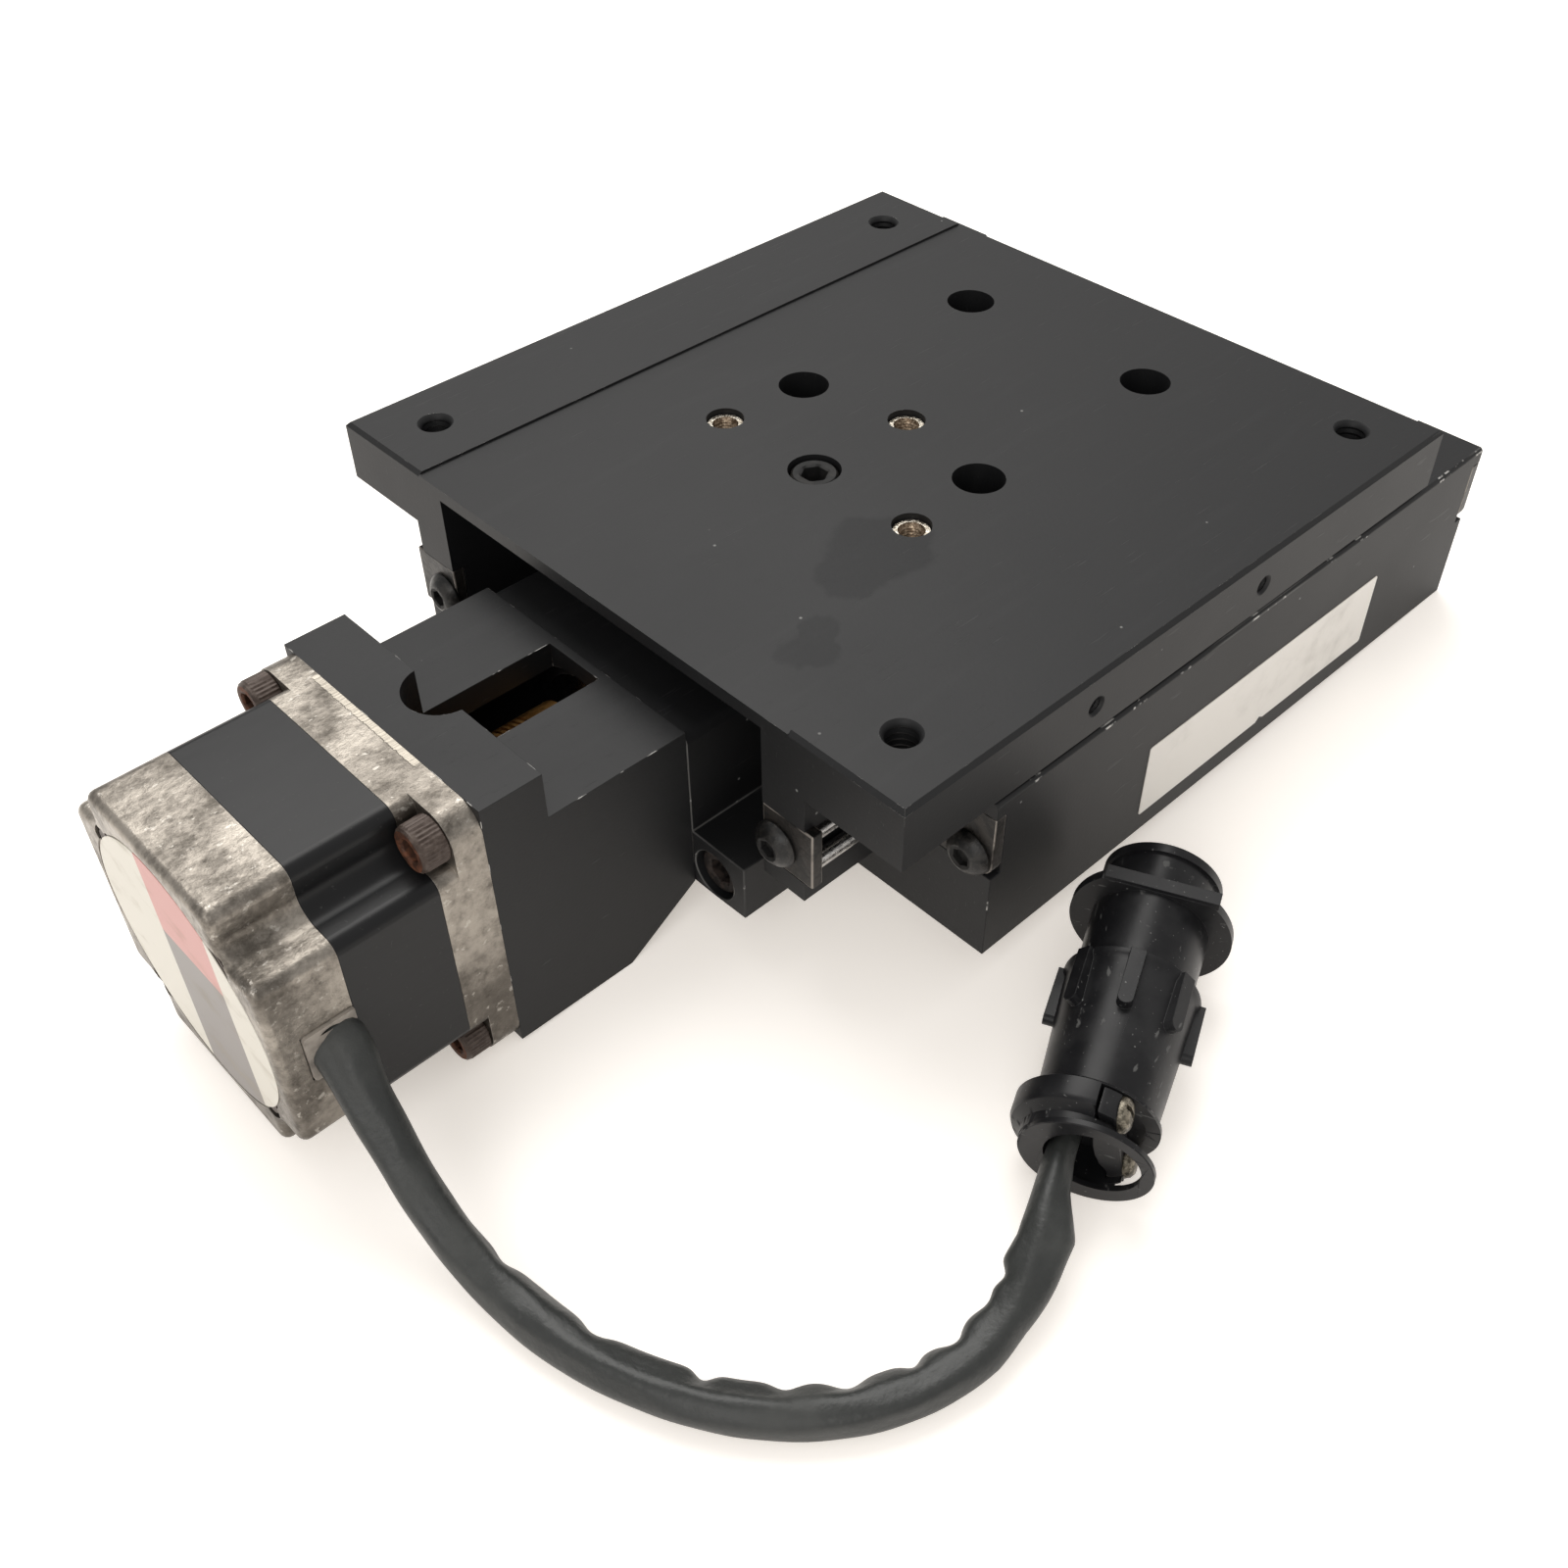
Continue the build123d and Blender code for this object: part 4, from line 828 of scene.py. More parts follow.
# stains and chips: a place on the surface and a radius, in metres
oil_patches = [
    ((0.0015, -0.0262, 0.0598), 0.0105),
    ((-0.0085, -0.0285, 0.0598), 0.0075),
    ((-0.0275, -0.0385, 0.0598), 0.0062),
    ((-0.0235, -0.036, 0.0598), 0.0048),
]
table_chips = [
    ((0.0107, -0.0762, 0.0598), 0.0016),
    ((-0.04505, -0.0467, 0.0598), 0.0011),
    ((-0.04505, -0.066, 0.0598), 0.0013),
    ((-0.04505, -0.0755, 0.0596), 0.0024),
]


def tapped(origin, direction, radius, depth, mouth, pitch):
    """A cutter for a countersunk tapped hole: the thread is a row of grooves."""
    rings = [(0.6, mouth), (0, mouth), (-(mouth - radius), radius)]
    along = -(mouth - radius)
    while along > pitch - depth:
        along -= pitch
        rings += [(along + pitch * 0.45, radius - 0.32), (along, radius)]
    rings.append((-depth, radius))
    return turned(rings, origin, direction, 56)


half_outline = [
    (pad_inner, centre_top),
    (pad_inner, table_top),
    (half_width - pad_chamfer, table_top),
    (half_width, table_top - pad_chamfer),
    (half_width, pad_underside),
    (leg_outer, pad_underside),
    (leg_outer, slide_height + rod_reach),
    (leg_outer - channel_depth, slide_height + rod_reach),
    (leg_outer - channel_depth, slide_height - rod_reach),
    (leg_outer, slide_height - rod_reach),
    (leg_outer, leg_bottom),
    (leg_inner, leg_bottom),
    (leg_inner, boss_underside),
]
table_outline = half_outline + [(-y, z) for y, z in reversed(half_outline)]
carriage_ends = (("front", x_carriage, -1), ("rear", x_carriage_end, 1))
table_cutters = []
for _, x_end, outward in carriage_ends:
    start, stop = sorted((x_end + outward, x_end - outward * pocket_length))
    table_cutters.append(block((start, -leg_inner, boss_underside - 2), (stop, leg_inner, pocket_ceiling)))
for _, side in sides:
    pad_y = sorted((side * (pad_inner - 0.01), side * (half_width + 1)))
    for _, x_end, outward in carriage_ends:
        limits = (leg_inner - 1, leg_outer + 1, leg_cap_low, leg_cap_high)
        table_cutters.append(cap_recess(x_end, outward, side, *limits))
        pad_end = [(x_end + outward * reach, table_top - pad_chamfer) for reach in (1, 0)]
        pad_end += [(x_end - outward * pad_chamfer, table_top + rise) for rise in (0, 1)]
        pad_end.append((x_end + outward, table_top + 1))
        table_cutters.append(prism(pad_end, "Y", *pad_y))
    for x in (x_carriage + corner_hole_inset, x_carriage_end - corner_hole_inset):
        table_cutters.append(tapped((x, side * corner_hole_y, table_top), UP, *corner_hole))
    for x in access_x:
        table_cutters.append(drilled((x, side * bolt_y, centre_top), UP, access_radius, through_table))
    table_cutters.append(drilled((insert_x, side * insert_y, centre_top), UP, insert_hole, through_table))
centre_mouth = (centre_screw_x, 0, centre_top)
table_cutters += [
    drilled((middle_insert_x, 0, centre_top), UP, insert_hole, through_table),
    drilled(centre_mouth, UP, centre_head_radius, centre_head_depth),
    drilled(centre_mouth, UP, centre_hole_radius, through_table),
]
for x in side_hole_x:
    table_cutters.append(tapped((x, -half_width, side_hole_z), (0, -1, 0), *side_hole))
table_black = anodised("table_black", (0, 0, 0), 0.6, oil_patches, table_chips)
table_mesh = carved(prism(table_outline, "X", x_carriage, x_carriage_end), table_cutters)
dressed("table", table_mesh, table_black, "carriage", ["carriage_table"], 0.2)

# ---- End caps of the carriage's legs -------------------------------------------------------------------
# The same kind of steel plates close the ends of the legs, each under one button-head screw.

leg_cap_outer = 56.5
leg_button_y = 48.0
leg_button_z = 33.3
leg_cap_corners = [
    (leg_inner, leg_cap_low, corner_radius),
    (leg_cap_outer, leg_cap_low, corner_radius),
    (leg_cap_outer, leg_cap_high, corner_radius),
    (leg_inner, leg_cap_high, corner_radius),
]
leg_buttons = end_caps("carriage", carriage_ends, leg_cap_corners, leg_button_y, leg_button_z, 0.35)
dressed("leg_buttons", leg_buttons, button_pair, "carriage", ["carriage_end_cap_screws"], 0)

# ---- Threaded inserts ----------------------------------------------------------------------------------
# Three bright steel bushes pressed into the table, sunk a little and threaded inside.

insert_top = 58.6
insert_radius = 3.78
insert_bore = 2.1
insert_pitch = 0.7
groove = 0.3
insert_low = (0.4, 0.35, 0.28, 1)
insert_high = (0.72, 0.67, 0.58, 1)
insert_bare = (0.85, 0.82, 0.75, 1)
thread_low = (0.12, 0.08, 0.05, 1)
thread_high = (0.42, 0.33, 0.24, 1)
thread_bare = (0.6, 0.5, 0.4, 1)
insert_rings = [(boss_underside, insert_radius), (insert_top - 0.3, insert_radius), (insert_top, 3.5)]
insert_rings += [(insert_top, 2.6, 1), (insert_top - 0.6, insert_bore + groove, 1)]
along = insert_top - 0.6
while along > boss_underside + 1:
    insert_rings.append((along - insert_pitch / 2, insert_bore, 1))
    insert_rings.append((along - insert_pitch, insert_bore + groove, 1))
    along -= insert_pitch
insert_rings.append((boss_underside, insert_bore, 1))
insert_places = ((insert_x, insert_y, 0), (middle_insert_x, 0, 0), (insert_x, -insert_y, 0))
insert_meshes = [turned(insert_rings, place, UP, closed=True) for place in insert_places]
insert_steel = metal("insert_steel", insert_low, insert_high, insert_bare, 0.26, 1.0, 300)
insert_thread = metal("insert_thread", thread_low, thread_high, thread_bare, 0.35, 0.9, 500)
insert_pair = [insert_steel[0], insert_thread[0]]
dressed("inserts", joined(insert_meshes), insert_pair, "carriage", ["threaded_inserts"], 0)

# ---- Lead screw, nut and nut bracket -------------------------------------------------------------------
# A ground steel screw with one coarse thread of 5.08 mm lead. It runs in a bronze flange nut, which hangs
# under the table in a black bracket.

screw_tip = -61.0
journal_start = -47.45
screw_shoulder = -30.45
screw_thread_end = 112.05
tail_end = 126.5
screw_end = 127.05
tip_radius = 3.175
journal_radius = 4.0
screw_radius = 4.8
tail_radius = 3.0
thread_lead = 5.08
thread_depth = 1.1
thread_step = 0.4
knurl_teeth = 36
# shank radius, head radius, head height and hexagon of the cap screws
quarter_inch = (3.175, 4.76, 6.35, 4.76)
metric_five = (2.5, 4.25, 5.0, 4.0)
metric_four = (2.0, 3.5, 4.0, 3.0)
centre_screw_seat = 52.75
centre_screw_length = 15


def thread_radius(along):
    """The radius by angle of a trapezoid thread at a place along the screw."""

    def radius(angle):
        phase = (along / thread_lead - angle / (2 * math.pi)) % 1
        return screw_radius - thread_depth * (1 - ramp(abs(phase - 0.5), 0.2, 0.1))

    return radius


screw_rings = [(screw_tip, 2.7), (screw_tip + 0.5, tip_radius), (journal_start, tip_radius)]
screw_rings += [(journal_start, journal_radius), (screw_shoulder, journal_radius)]
screw_rings += [(screw_shoulder, screw_radius), (screw_shoulder + 1.5, screw_radius)]
thread_count = round((screw_thread_end - screw_shoulder - 4.0) / thread_step)
for index in range(thread_count):
    along = screw_shoulder + 2.0 + index * thread_step
    screw_rings.append((along, thread_radius(along)))
screw_rings += [(screw_thread_end - 1.5, screw_radius), (screw_thread_end, screw_radius)]
screw_rings += [(screw_thread_end, tail_radius), (tail_end, tail_radius), (screw_end, 2.5)]
screw_mesh = turned(screw_rings, (0, 0, drive_height), TO_END, 32)
dressed("screw", screw_mesh, ground, "drive", ["lead_screw"], 0)
coat("lead_nut", bronze[0])
coat("nut_bracket", base_black[0])
coat("nut_screws", button_steel[0])
for node in ("bearing_lock_nut", "front_screw_bearings", "rear_screw_bearing"):
    coat(node, ground[0])


def cap_screw(place, outward, length, shank, head, height, hex_size):
    """A socket cap screw with a knurled head, seated at a place; its shank points the other way."""
    socket = hexagon(hex_size)

    def knurl(angle):
        return head - 0.07 * (1 + math.cos(knurl_teeth * angle))

    rings = [(-length, shank), (0, shank), (0, head - 0.3), (0.25, knurl), (height - 0.9, knurl)]
    rings += [(height - 0.8, head - 0.12), (height - 0.35, head - 0.2), (height, head - 0.6, 1)]
    rings += [(height, hex_size * 0.64, 1), (height - 0.35, socket, 1), (height * 0.45, socket, 1)]
    rings.append((height * 0.36, 0, 1))
    return turned(rings, place, outward, 4 * knurl_teeth)


bracket_screw = cap_screw((centre_screw_x, 0, centre_screw_seat), UP, centre_screw_length, *quarter_inch)
dressed("bracket_screw", bracket_screw, button_pair, "carriage", ["nut_bracket_screw"], 0)

# ---- Front bearing block -------------------------------------------------------------------------------
# A black block with a wide foot, bolted to the base's front edge by two counterbored screws that have
# rusted. It holds the screw's bearing pair behind a steel retainer.

x_block = -47.45
frame_half = 28.2
block_top = 45.8
foot_half = 41.8
foot_bottom = 10.7
foot_screw_y = 33.7
foot_screw_z = 15.9
foot_seat_depth = 7.55
foot_head_radius = 5.1
foot_screw_length = 33
# radius and depth of the bores for the retainer, the bearings and the screw
block_bores = ((12.5, 3.0), (11.0, 17.0), (6.0, 30.0))
rust_brown = (0.04, 0.026, 0.02, 1)
rust_grey = (0.1, 0.074, 0.06, 1)
rust_orange = (0.18, 0.06, 0.025, 1)


def rusty(name, low, high, rough):
    """Steel whose surface has turned to brown rust in patches."""
    finish, shader, place = new_finish(name)
    drift = cloud(place, 240, 5, 0.65)
    bloom = soft_step(cloud(place, 620, 4, 0.6), 0.4, 0.66)
    feed(
        shader,
        Base_Color=blend_colour(drift * 0.4 + bloom * 0.6, low, high),
        Metallic=0.45 - bloom * 0.4,
        Roughness=rough + bloom * 0.2,
        Normal=relief(bloom * 0.5 + drift * 0.6, 0.00015, 0.6),
    )
    return finish


rust_pair = [
    rusty("rusty_head", rust_brown, rust_grey, 0.42),
    rusty("rusty_socket", rust_brown, rust_orange, 0.6),
]
foot_finishes = [
    rusty("foot_head", socket_grey, rust_brown, 0.45),
    rusty("foot_socket", socket_black, rust_brown, 0.6),
]
block_outline = rounded(
    [
        (-foot_half, foot_bottom, 0),
        (foot_half, foot_bottom, 0),
        (foot_half, floor_top, 0),
        (frame_half, floor_top, 0),
        (frame_half, block_top, 2.0),
        (-frame_half, block_top, 2.0),
        (-frame_half, floor_top, 0),
        (-foot_half, floor_top, 0),
    ]
)
block_cutters = [
    drilled((x_block, 0, drive_height), TO_MOTOR, radius, depth)
    for radius, depth in block_bores
]
foot_screws = []
for _, side in sides:
    mouth = (x_block, side * foot_screw_y, foot_screw_z)
    block_cutters.append(drilled(mouth, TO_MOTOR, foot_head_radius, foot_seat_depth))
    seat = (x_block + foot_seat_depth, side * foot_screw_y, foot_screw_z)
    foot_screws.append(cap_screw(seat, TO_MOTOR, foot_screw_length, *quarter_inch))
block_mesh = carved(prism(block_outline, "X", x_block, x_base), block_cutters)
block_black = anodised("block_black", (6.0, 2.5, 3.3), 0.6)
dressed("bearing_block", block_mesh, block_black, "base", ["front_bearing_block"])
foot_mesh = joined(foot_screws)
dressed("foot_screws", foot_mesh, foot_finishes, "base", ["bearing_block_screws"], 0)
coat("bearing_retainer", ground[0])

# ---- Rear bearing block --------------------------------------------------------------------------------
# A small black block keyed into the trough, with a plain bearing for the screw's far end and two screws.

x_rear_block = 114.05
rear_half = 24
rear_top = 44.0
rear_screw_x = 122.05
rear_screw_y = 20.0
rear_screw_seat = 31.2
rear_screw_length = 16
rear_head_radius = 3.7
rear_head_depth = 12.8
rear_bores = ((8.0, 11.0), (5.4, 20.0))
rear_outline = rounded(
    [
        (-rear_half, floor_top, 0),
        (-trough_half, floor_top, 0),
        (-trough_half, trough_floor, 0),
        (trough_half, trough_floor, 0),
        (trough_half, floor_top, 0),
        (rear_half, floor_top, 0),
        (rear_half, rear_top, 6.0),
        (-rear_half, rear_top, 6.0),
    ]
)
rear_cutters = [
    drilled((x_base_end, 0, drive_height), TO_END, radius, depth)
    for radius, depth in rear_bores
]
rear_screws = []
for _, side in sides:
    mouth = (rear_screw_x, side * rear_screw_y, rear_top)
    rear_cutters.append(drilled(mouth, UP, rear_head_radius, rear_head_depth))
    seat = (rear_screw_x, side * rear_screw_y, rear_screw_seat)
    rear_screws.append(cap_screw(seat, UP, rear_screw_length, *metric_four))
rear_mesh = carved(prism(rear_outline, "X", x_rear_block, x_base_end), rear_cutters)
rear_black = anodised("rear_black", (1.2, 8.1, 0.6), 0.5)
dressed("rear_block", rear_mesh, rear_black, "base", ["rear_bearing_block"])
dressed("rear_screws", joined(rear_screws), button_pair, "base", ["rear_block_screws"], 0)

# ---- Coupling housing ----------------------------------------------------------------------------------
# A black anodised block between the motor and the bearing block. A slot with a round end opens its deck
# down to the tunnel, so that a key reaches the coupling's set screws.

x_motor_face = -88.55
x_housing_end = x_block - 0.02
x_flange_end = -76.45
x_slope = -63.45
slope_top = 10.3
deck_top = 46.9
flange_top = 56.4
pilot_radius = 19.05
pilot_depth = 1.8
tunnel_radius = 15.0
tunnel_length = 50
x_window_end = -49.25
x_window_round = -75.65
window_radius = 6.9
half_turn_steps = 24
housing_outline = [
    (x_motor_face, 0),
    (x_slope, 0),
    (x_housing_end, slope_top),
    (x_housing_end, deck_top),
    (x_flange_end, deck_top),
    (x_flange_end, flange_top),
    (x_motor_face, flange_top),
]
housing_wear = [((x_block * MM, -frame_half * MM, z * MM), 0.0042) for z in (40, 33, 26, 19)]
window_outline = [(x_window_end, -window_radius), (x_window_end, window_radius)]
for step in range(half_turn_steps + 1):
    angle = math.pi * (0.5 + step / half_turn_steps)
    x = x_window_round + window_radius * math.cos(angle)
    window_outline.append((x, window_radius * math.sin(angle)))
housing_cutters = [
    drilled((x_motor_face, 0, drive_height), TO_MOTOR, pilot_radius, pilot_depth, 72),
    drilled((x_motor_face, 0, drive_height), TO_MOTOR, tunnel_radius, tunnel_length, 72),
    prism(window_outline, "Z", drive_height, flange_top + 2),
]
housing_mesh = carved(prism(housing_outline, "Y", -frame_half, frame_half), housing_cutters)
housing_black = anodised("housing_black", (9.0, 4.0, 2.0), 0.65, (), housing_wear)
dressed("housing", housing_mesh, housing_black, "base", ["coupling_housing"])
coat("housing_screws", rust_pair[0])

# ---- Helical coupling ----------------------------------------------------------------------------------
# One turned cylinder, gold-brown anodised, cut into a spring by a helical slot and clamped to both shafts
# by set screws.

coupling_start = -78.05
coupling_end = -51.55
coupling_radius = 9.525
coupling_bore = 3.2
coupling_chamfer = 0.7
end_radius = 8.8
spring_start = -74.0
spring_end = -58.5
spring_pitch = 1.3
slot_depth = 1.8
slot_share = 0.34
amber_low = (0.32, 0.15, 0.04, 1)
amber_high = (0.6, 0.33, 0.11, 1)
amber_bare = (0.8, 0.6, 0.3, 1)


def spring_radius(along):
    """The radius by angle where the helical slot runs round the coupling."""

    def radius(angle):
        phase = (along / spring_pitch - angle / (2 * math.pi)) % 1
        return coupling_radius - (slot_depth if phase < slot_share else 0.0)

    return radius


coupling_rings = [(coupling_start, coupling_bore), (coupling_start, end_radius)]
coupling_rings.append((coupling_start + coupling_chamfer, coupling_radius))
coupling_rings.append((spring_start - 0.2, coupling_radius))
spring_steps = round((spring_end - spring_start) / (spring_pitch / 10))
for step in range(spring_steps + 1):
    along = spring_start + (spring_end - spring_start) * step / spring_steps
    coupling_rings.append((along, spring_radius(along)))
coupling_rings += [(spring_end + 0.2, coupling_radius), (coupling_end - coupling_chamfer, coupling_radius)]
coupling_rings += [(coupling_end, end_radius), (coupling_end, coupling_bore)]
amber = metal("amber", amber_low, amber_high, amber_bare, 0.36, 0.85, 120)
coupling_mesh = turned(coupling_rings, (0, 0, drive_height), TO_END, 72, closed=True)
dressed("coupling", coupling_mesh, [amber[0]], "drive", ["helical_coupling"], 0)
coat("coupling_set_screws", button_steel[0])
coat("motor_shaft", ground[0])

# ---- Motor front bracket -------------------------------------------------------------------------------
# A raw aluminium casting with the motor's stepped outline and a square flange, whose rim was machined
# bright where it meets the housing. Four rusty cap screws hold it.

x_motor_rear = -130.05
x_stator = -116.05
x_bracket = -97.75
ear_start = -94.05
cast_dark = (0.085, 0.074, 0.062, 1)
cast_pale = (0.37, 0.336, 0.292, 1)
cast_bright = (0.56, 0.53, 0.48, 1)
milled_pale = (0.4, 0.365, 0.31, 1)
milled_start = -90 * MM
milled_height = 56 * MM
milled_left = 17 * MM
milled_right = -13 * MM
half_fade = 0.5 * MM
motor_step = 19
mount_offset = 23.57
mount_screw_length = 14.5


def part_of(place, axis):
    """The X, Y or Z of the surface coordinates, in metres."""
    return place.make("ShaderNodeSeparateXYZ", {}, {0: place}, axis)


def cast_metal(name, shift, rim_x=None):
    """Raw die-cast aluminium, crinkled and stained, darkened low down by painted shade and flecked with
    painted glints; a milled strip starts at rim_x on its top face.
    """
    pair = twin_finishes(name)
    for edge, (_, shader, place) in enumerate(pair):
        drift = cloud(place, 70, 6, 0.7, shift=shift)
        crinkle = cloud(place, 330, 5, 0.72, (1, 1.5, 1), shift)
        mottle = soft_step(drift * 0.6 + crinkle * 0.4, 0.34, 0.62)
        pits = soft_step(cloud(place, 900, 3, 0.6, shift=shift), 0.56, 0.76)
        stains = soft_step(cloud(place, 42, 5, 0.7, shift=(shift[0] + 4, shift[1], shift[2])), 0.5, 0.68)
        colour = blend_colour(mottle, cast_dark, cast_pale)
        rise = part_of(place, "Z")
        # painted shade: the casting darkens towards the bottom, mixed half and half with its real stains
        stains_and_low_shade = 1 - soft_step(rise + (drift - 0.5) * 0.012, 0.004, 0.04)
        stains_and_low_shade = stains * 0.5 + stains_and_low_shade * 0.5
        colour = blend_colour(stains_and_low_shade.least(0.8), colour, cast_dark)
        # painted glints: small bright highlight spots painted into the casting's colour
        painted_glints = soft_step(cloud(place, 520, 3, 0.6, (1, 1.4, 1), shift), 0.62, 0.7)
        bright = painted_glints * 0.6
        # the broken edges are lightened: partly rubbed bare metal, partly a painted highlight along the
        # rounded edges
        if edge:
            bright = bright.most(soft_step(cloud(place, 110, 4, 0.6, shift=shift), 0.35, 0.65))
        colour = blend_colour(bright * 0.8, colour, cast_bright)
        shine = 0.47 - mottle * 0.12 - bright * 0.1 + pits * 0.15
        height = drift * 0.8 + crinkle * 0.7 + pits * 0.15
        if rim_x is not None:
            along, across = part_of(place, "X"), part_of(place, "Y")
            lines = cloud(place, 2400, 2, 0.4, (0.06, 1, 1), shift)
            milled = soft_step(along + (lines - 0.5) * 0.0007, rim_x, rim_x + 0.0002)
            milled = milled * rise.above(milled_height)
            milled = milled * soft_step(across, milled_right - half_fade, milled_right + half_fade)
            milled = milled * (1 - soft_step(across, milled_left - half_fade, milled_left + half_fade))
            colour = blend_colour(milled * (0.55 + lines * 0.6), colour, milled_pale)
            shine = shine * (1 - milled) + milled * 0.42
            height = height * (1 - milled * 0.85) + lines * milled * 0.3
        feed(
            shader,
            Base_Color=colour,
            Metallic=0.85,
            Roughness=shine,
            Normal=relief(height, 0.0005, 0.45),
        )
    return [finish for finish, _, _ in pair]


def stepped_outline():
    """The motor's outline: a square whose corners are cut to rounded steps."""
    quarter = [(frame_half, -motor_step, 2.5), (frame_half, motor_step, 2.5), (motor_step, motor_step, 4.0)]
    corners = []
    for turn in range(4):
        cosine, sine = round(math.cos(turn * math.pi / 2)), round(math.sin(turn * math.pi / 2))
        for y, z, radius in quarter:
            corners.append((y * cosine - z * sine, y * sine + z * cosine + drive_height, radius))
    return rounded(corners)


motor_outline = stepped_outline()
flange_corners = [(y * frame_half, z * frame_half + drive_height, 5.0) for y, z in square]
bracket_mesh = carved(
    prism(motor_outline, "X", x_bracket, ear_start + 2),
    [prism(rounded(flange_corners), "X", ear_start, x_motor_face)],
    "UNION",
)
mount_screws = []
for _, side in sides:
    for rise in (-1, 1):
        seat = (ear_start, side * mount_offset, drive_height + rise * mount_offset)
        mount_screws.append(cap_screw(seat, TO_MOTOR, mount_screw_length, *metric_five))
bracket_cast = cast_metal("bracket_cast", (3, 5, 8), milled_start)
dressed("bracket", bracket_mesh, bracket_cast, "base", ["motor_front_bracket"], 0.45, 3)
dressed("mount_screws", joined(mount_screws), rust_pair, "base", ["motor_mount_screws"], 0)

# ---- Motor stator --------------------------------------------------------------------------------------
# A stack of steel laminations, painted satin black. The windings, rotor, bearings and shaft are inside.

stator_low = (0.006, 0.0062, 0.007, 1)
stator_dust = (0.05, 0.05, 0.048, 1)
stator_finish, stator_shader, place = new_finish("stator_black")
drift = cloud(place, 40, 4)
brushed = cloud(place, 520, 3, 0.5, (0.25, 1, 1))
dust = soft_step(cloud(place, 1300, 2), 0.68, 0.76)
feed(
    stator_shader,
    Base_Color=blend_colour(dust * 0.5 + drift * 0.1, stator_low, stator_dust),
    Roughness=0.27 + drift * 0.1 + dust * 0.2,
    Specular_IOR_Level=0.25,
    Normal=relief(brushed * 0.5 + drift * 0.4, 0.00008, 0.5),
)
stator_mesh = prism(motor_outline, "X", x_stator, x_bracket)
dressed("stator", stator_mesh, [stator_finish], "base", ["motor_stator"], 0.12)
coat("motor_windings", bronze[0])
coat("motor_bearings", ground[0])
coat("motor_rotor", ground[0])

# ---- Motor rear cap ------------------------------------------------------------------------------------
# A raw aluminium casting that closes the motor's back. Four long screws, sunk in round recesses, draw it
# and the bracket onto the stator. A shallow disc is milled for the label.

body_screw_offset = 17.2
label_recess = 26.0
recess_depth = 0.25
head_recess_radius = 3.5
head_recess_depth = 3.1
back_rounding = 1.6 * MM
grommet_low = (-125.4, -28.8, 23.0)
grommet_high = (-116.0, -23.0, 33.5)
cap_mesh = prism(motor_outline, "X", x_motor_rear, x_stator)
back_edges = [
    edge for edge in cap_mesh.edges if max(v.co.x for v in edge.verts) < (x_motor_rear + 0.1) * MM
]
bmesh.ops.bevel(cap_mesh, geom=back_edges, offset=back_rounding, segments=4, profile=0.5, affect="EDGES")
cap_cutters = [drilled((x_motor_rear, 0, drive_height), TO_MOTOR, label_recess, recess_depth, 96)]
cap_cutters.append(block(grommet_low, grommet_high))
for y in (-body_screw_offset, body_screw_offset):
    for rise in (-body_screw_offset, body_screw_offset):
        middle = (x_motor_rear, y, drive_height + rise)
        cap_cutters.append(drilled(middle, TO_MOTOR, head_recess_radius, head_recess_depth, 32))
cap_cast = cast_metal("cap_cast", (1, 2, 6))
dressed("rear_cap", carved(cap_mesh, cap_cutters), cap_cast, "base", ["motor_rear_cap"], 0.4, 3)
coat("motor_body_screws", rust_pair[0])

# ---- Motor label ---------------------------------------------------------------------------------------
# A bare round label of ivory film with one plain band, pink above and grey below, stuck in the cap's
# recess over the four screws.

label_radius = 25.5
label_ivory = (0.78, 0.74, 0.65, 1)
label_pink = (0.68, 0.36, 0.33, 1)
label_grey = (0.3, 0.275, 0.26, 1)
label_dirt = (0.5, 0.45, 0.37, 1)
band_left_edge = 4 * MM
band_right_edge = -15 * MM
band_change = 7.7 * MM
label_finish, label_shader, place = new_finish("label")
across = part_of(place, "Y")
rise = part_of(place, "Z") - drive_height * MM
band = across.below(band_left_edge) * across.above(band_right_edge)
upper = rise.above(band_change)
rubbed = soft_step(cloud(place, 130, 5, 0.7, (1, 0.4, 1)), 0.52, 0.68)
label_colour = blend_colour(band, label_ivory, blend_colour(upper, label_grey, label_pink))
feed(
    label_shader,
    Base_Color=blend_colour(rubbed * 0.35, label_colour, label_dirt),
    Roughness=0.46 + rubbed * 0.25,
    Specular_IOR_Level=0.3,
    Normal=relief(cloud(place, 180, 3), 0.00006, 0.4),
)
label_rings = [(-recess_depth, label_radius), (-0.02, label_radius)]
label_mesh = turned(label_rings, (x_motor_rear, 0, drive_height), TO_MOTOR, 96)
dressed("motor_label", label_mesh, [label_finish], "base", [], 0.05, 1)

# ---- Grommet -------------------------------------------------------------------------------------------
# A block of firm greige rubber in the cap's side, pressed between the cap and the stator. The cable comes
# out of it slanting down.

greige = (0.36, 0.32, 0.275, 1)
greige_dirty = (0.17, 0.15, 0.13, 1)
grommet_finish, grommet_shader, place = new_finish("grommet")
soiled = soft_step(cloud(place, 240, 4), 0.4, 0.7)
feed(
    grommet_shader,
    Base_Color=blend_colour(soiled, greige, greige_dirty),
    Roughness=0.6,
    Normal=relief(cloud(place, 420, 3), 0.0001, 0.5),
)
cable_start, cable_next = (Vector(point) for point in cable_route[:2])
grommet_outline = rounded(
    [(-125.25, 23.15, 0.8), (-116.05, 23.15, 0), (-116.05, 33.35, 0), (-125.25, 33.35, 0.8)]
)
cable_hole = drilled(cable_start, cable_next - cable_start, cable_diameter / MM / 2 + 0.1, 12.0)
grommet_mesh = carved(prism(grommet_outline, "Y", -28.78, -23.1), [cable_hole])
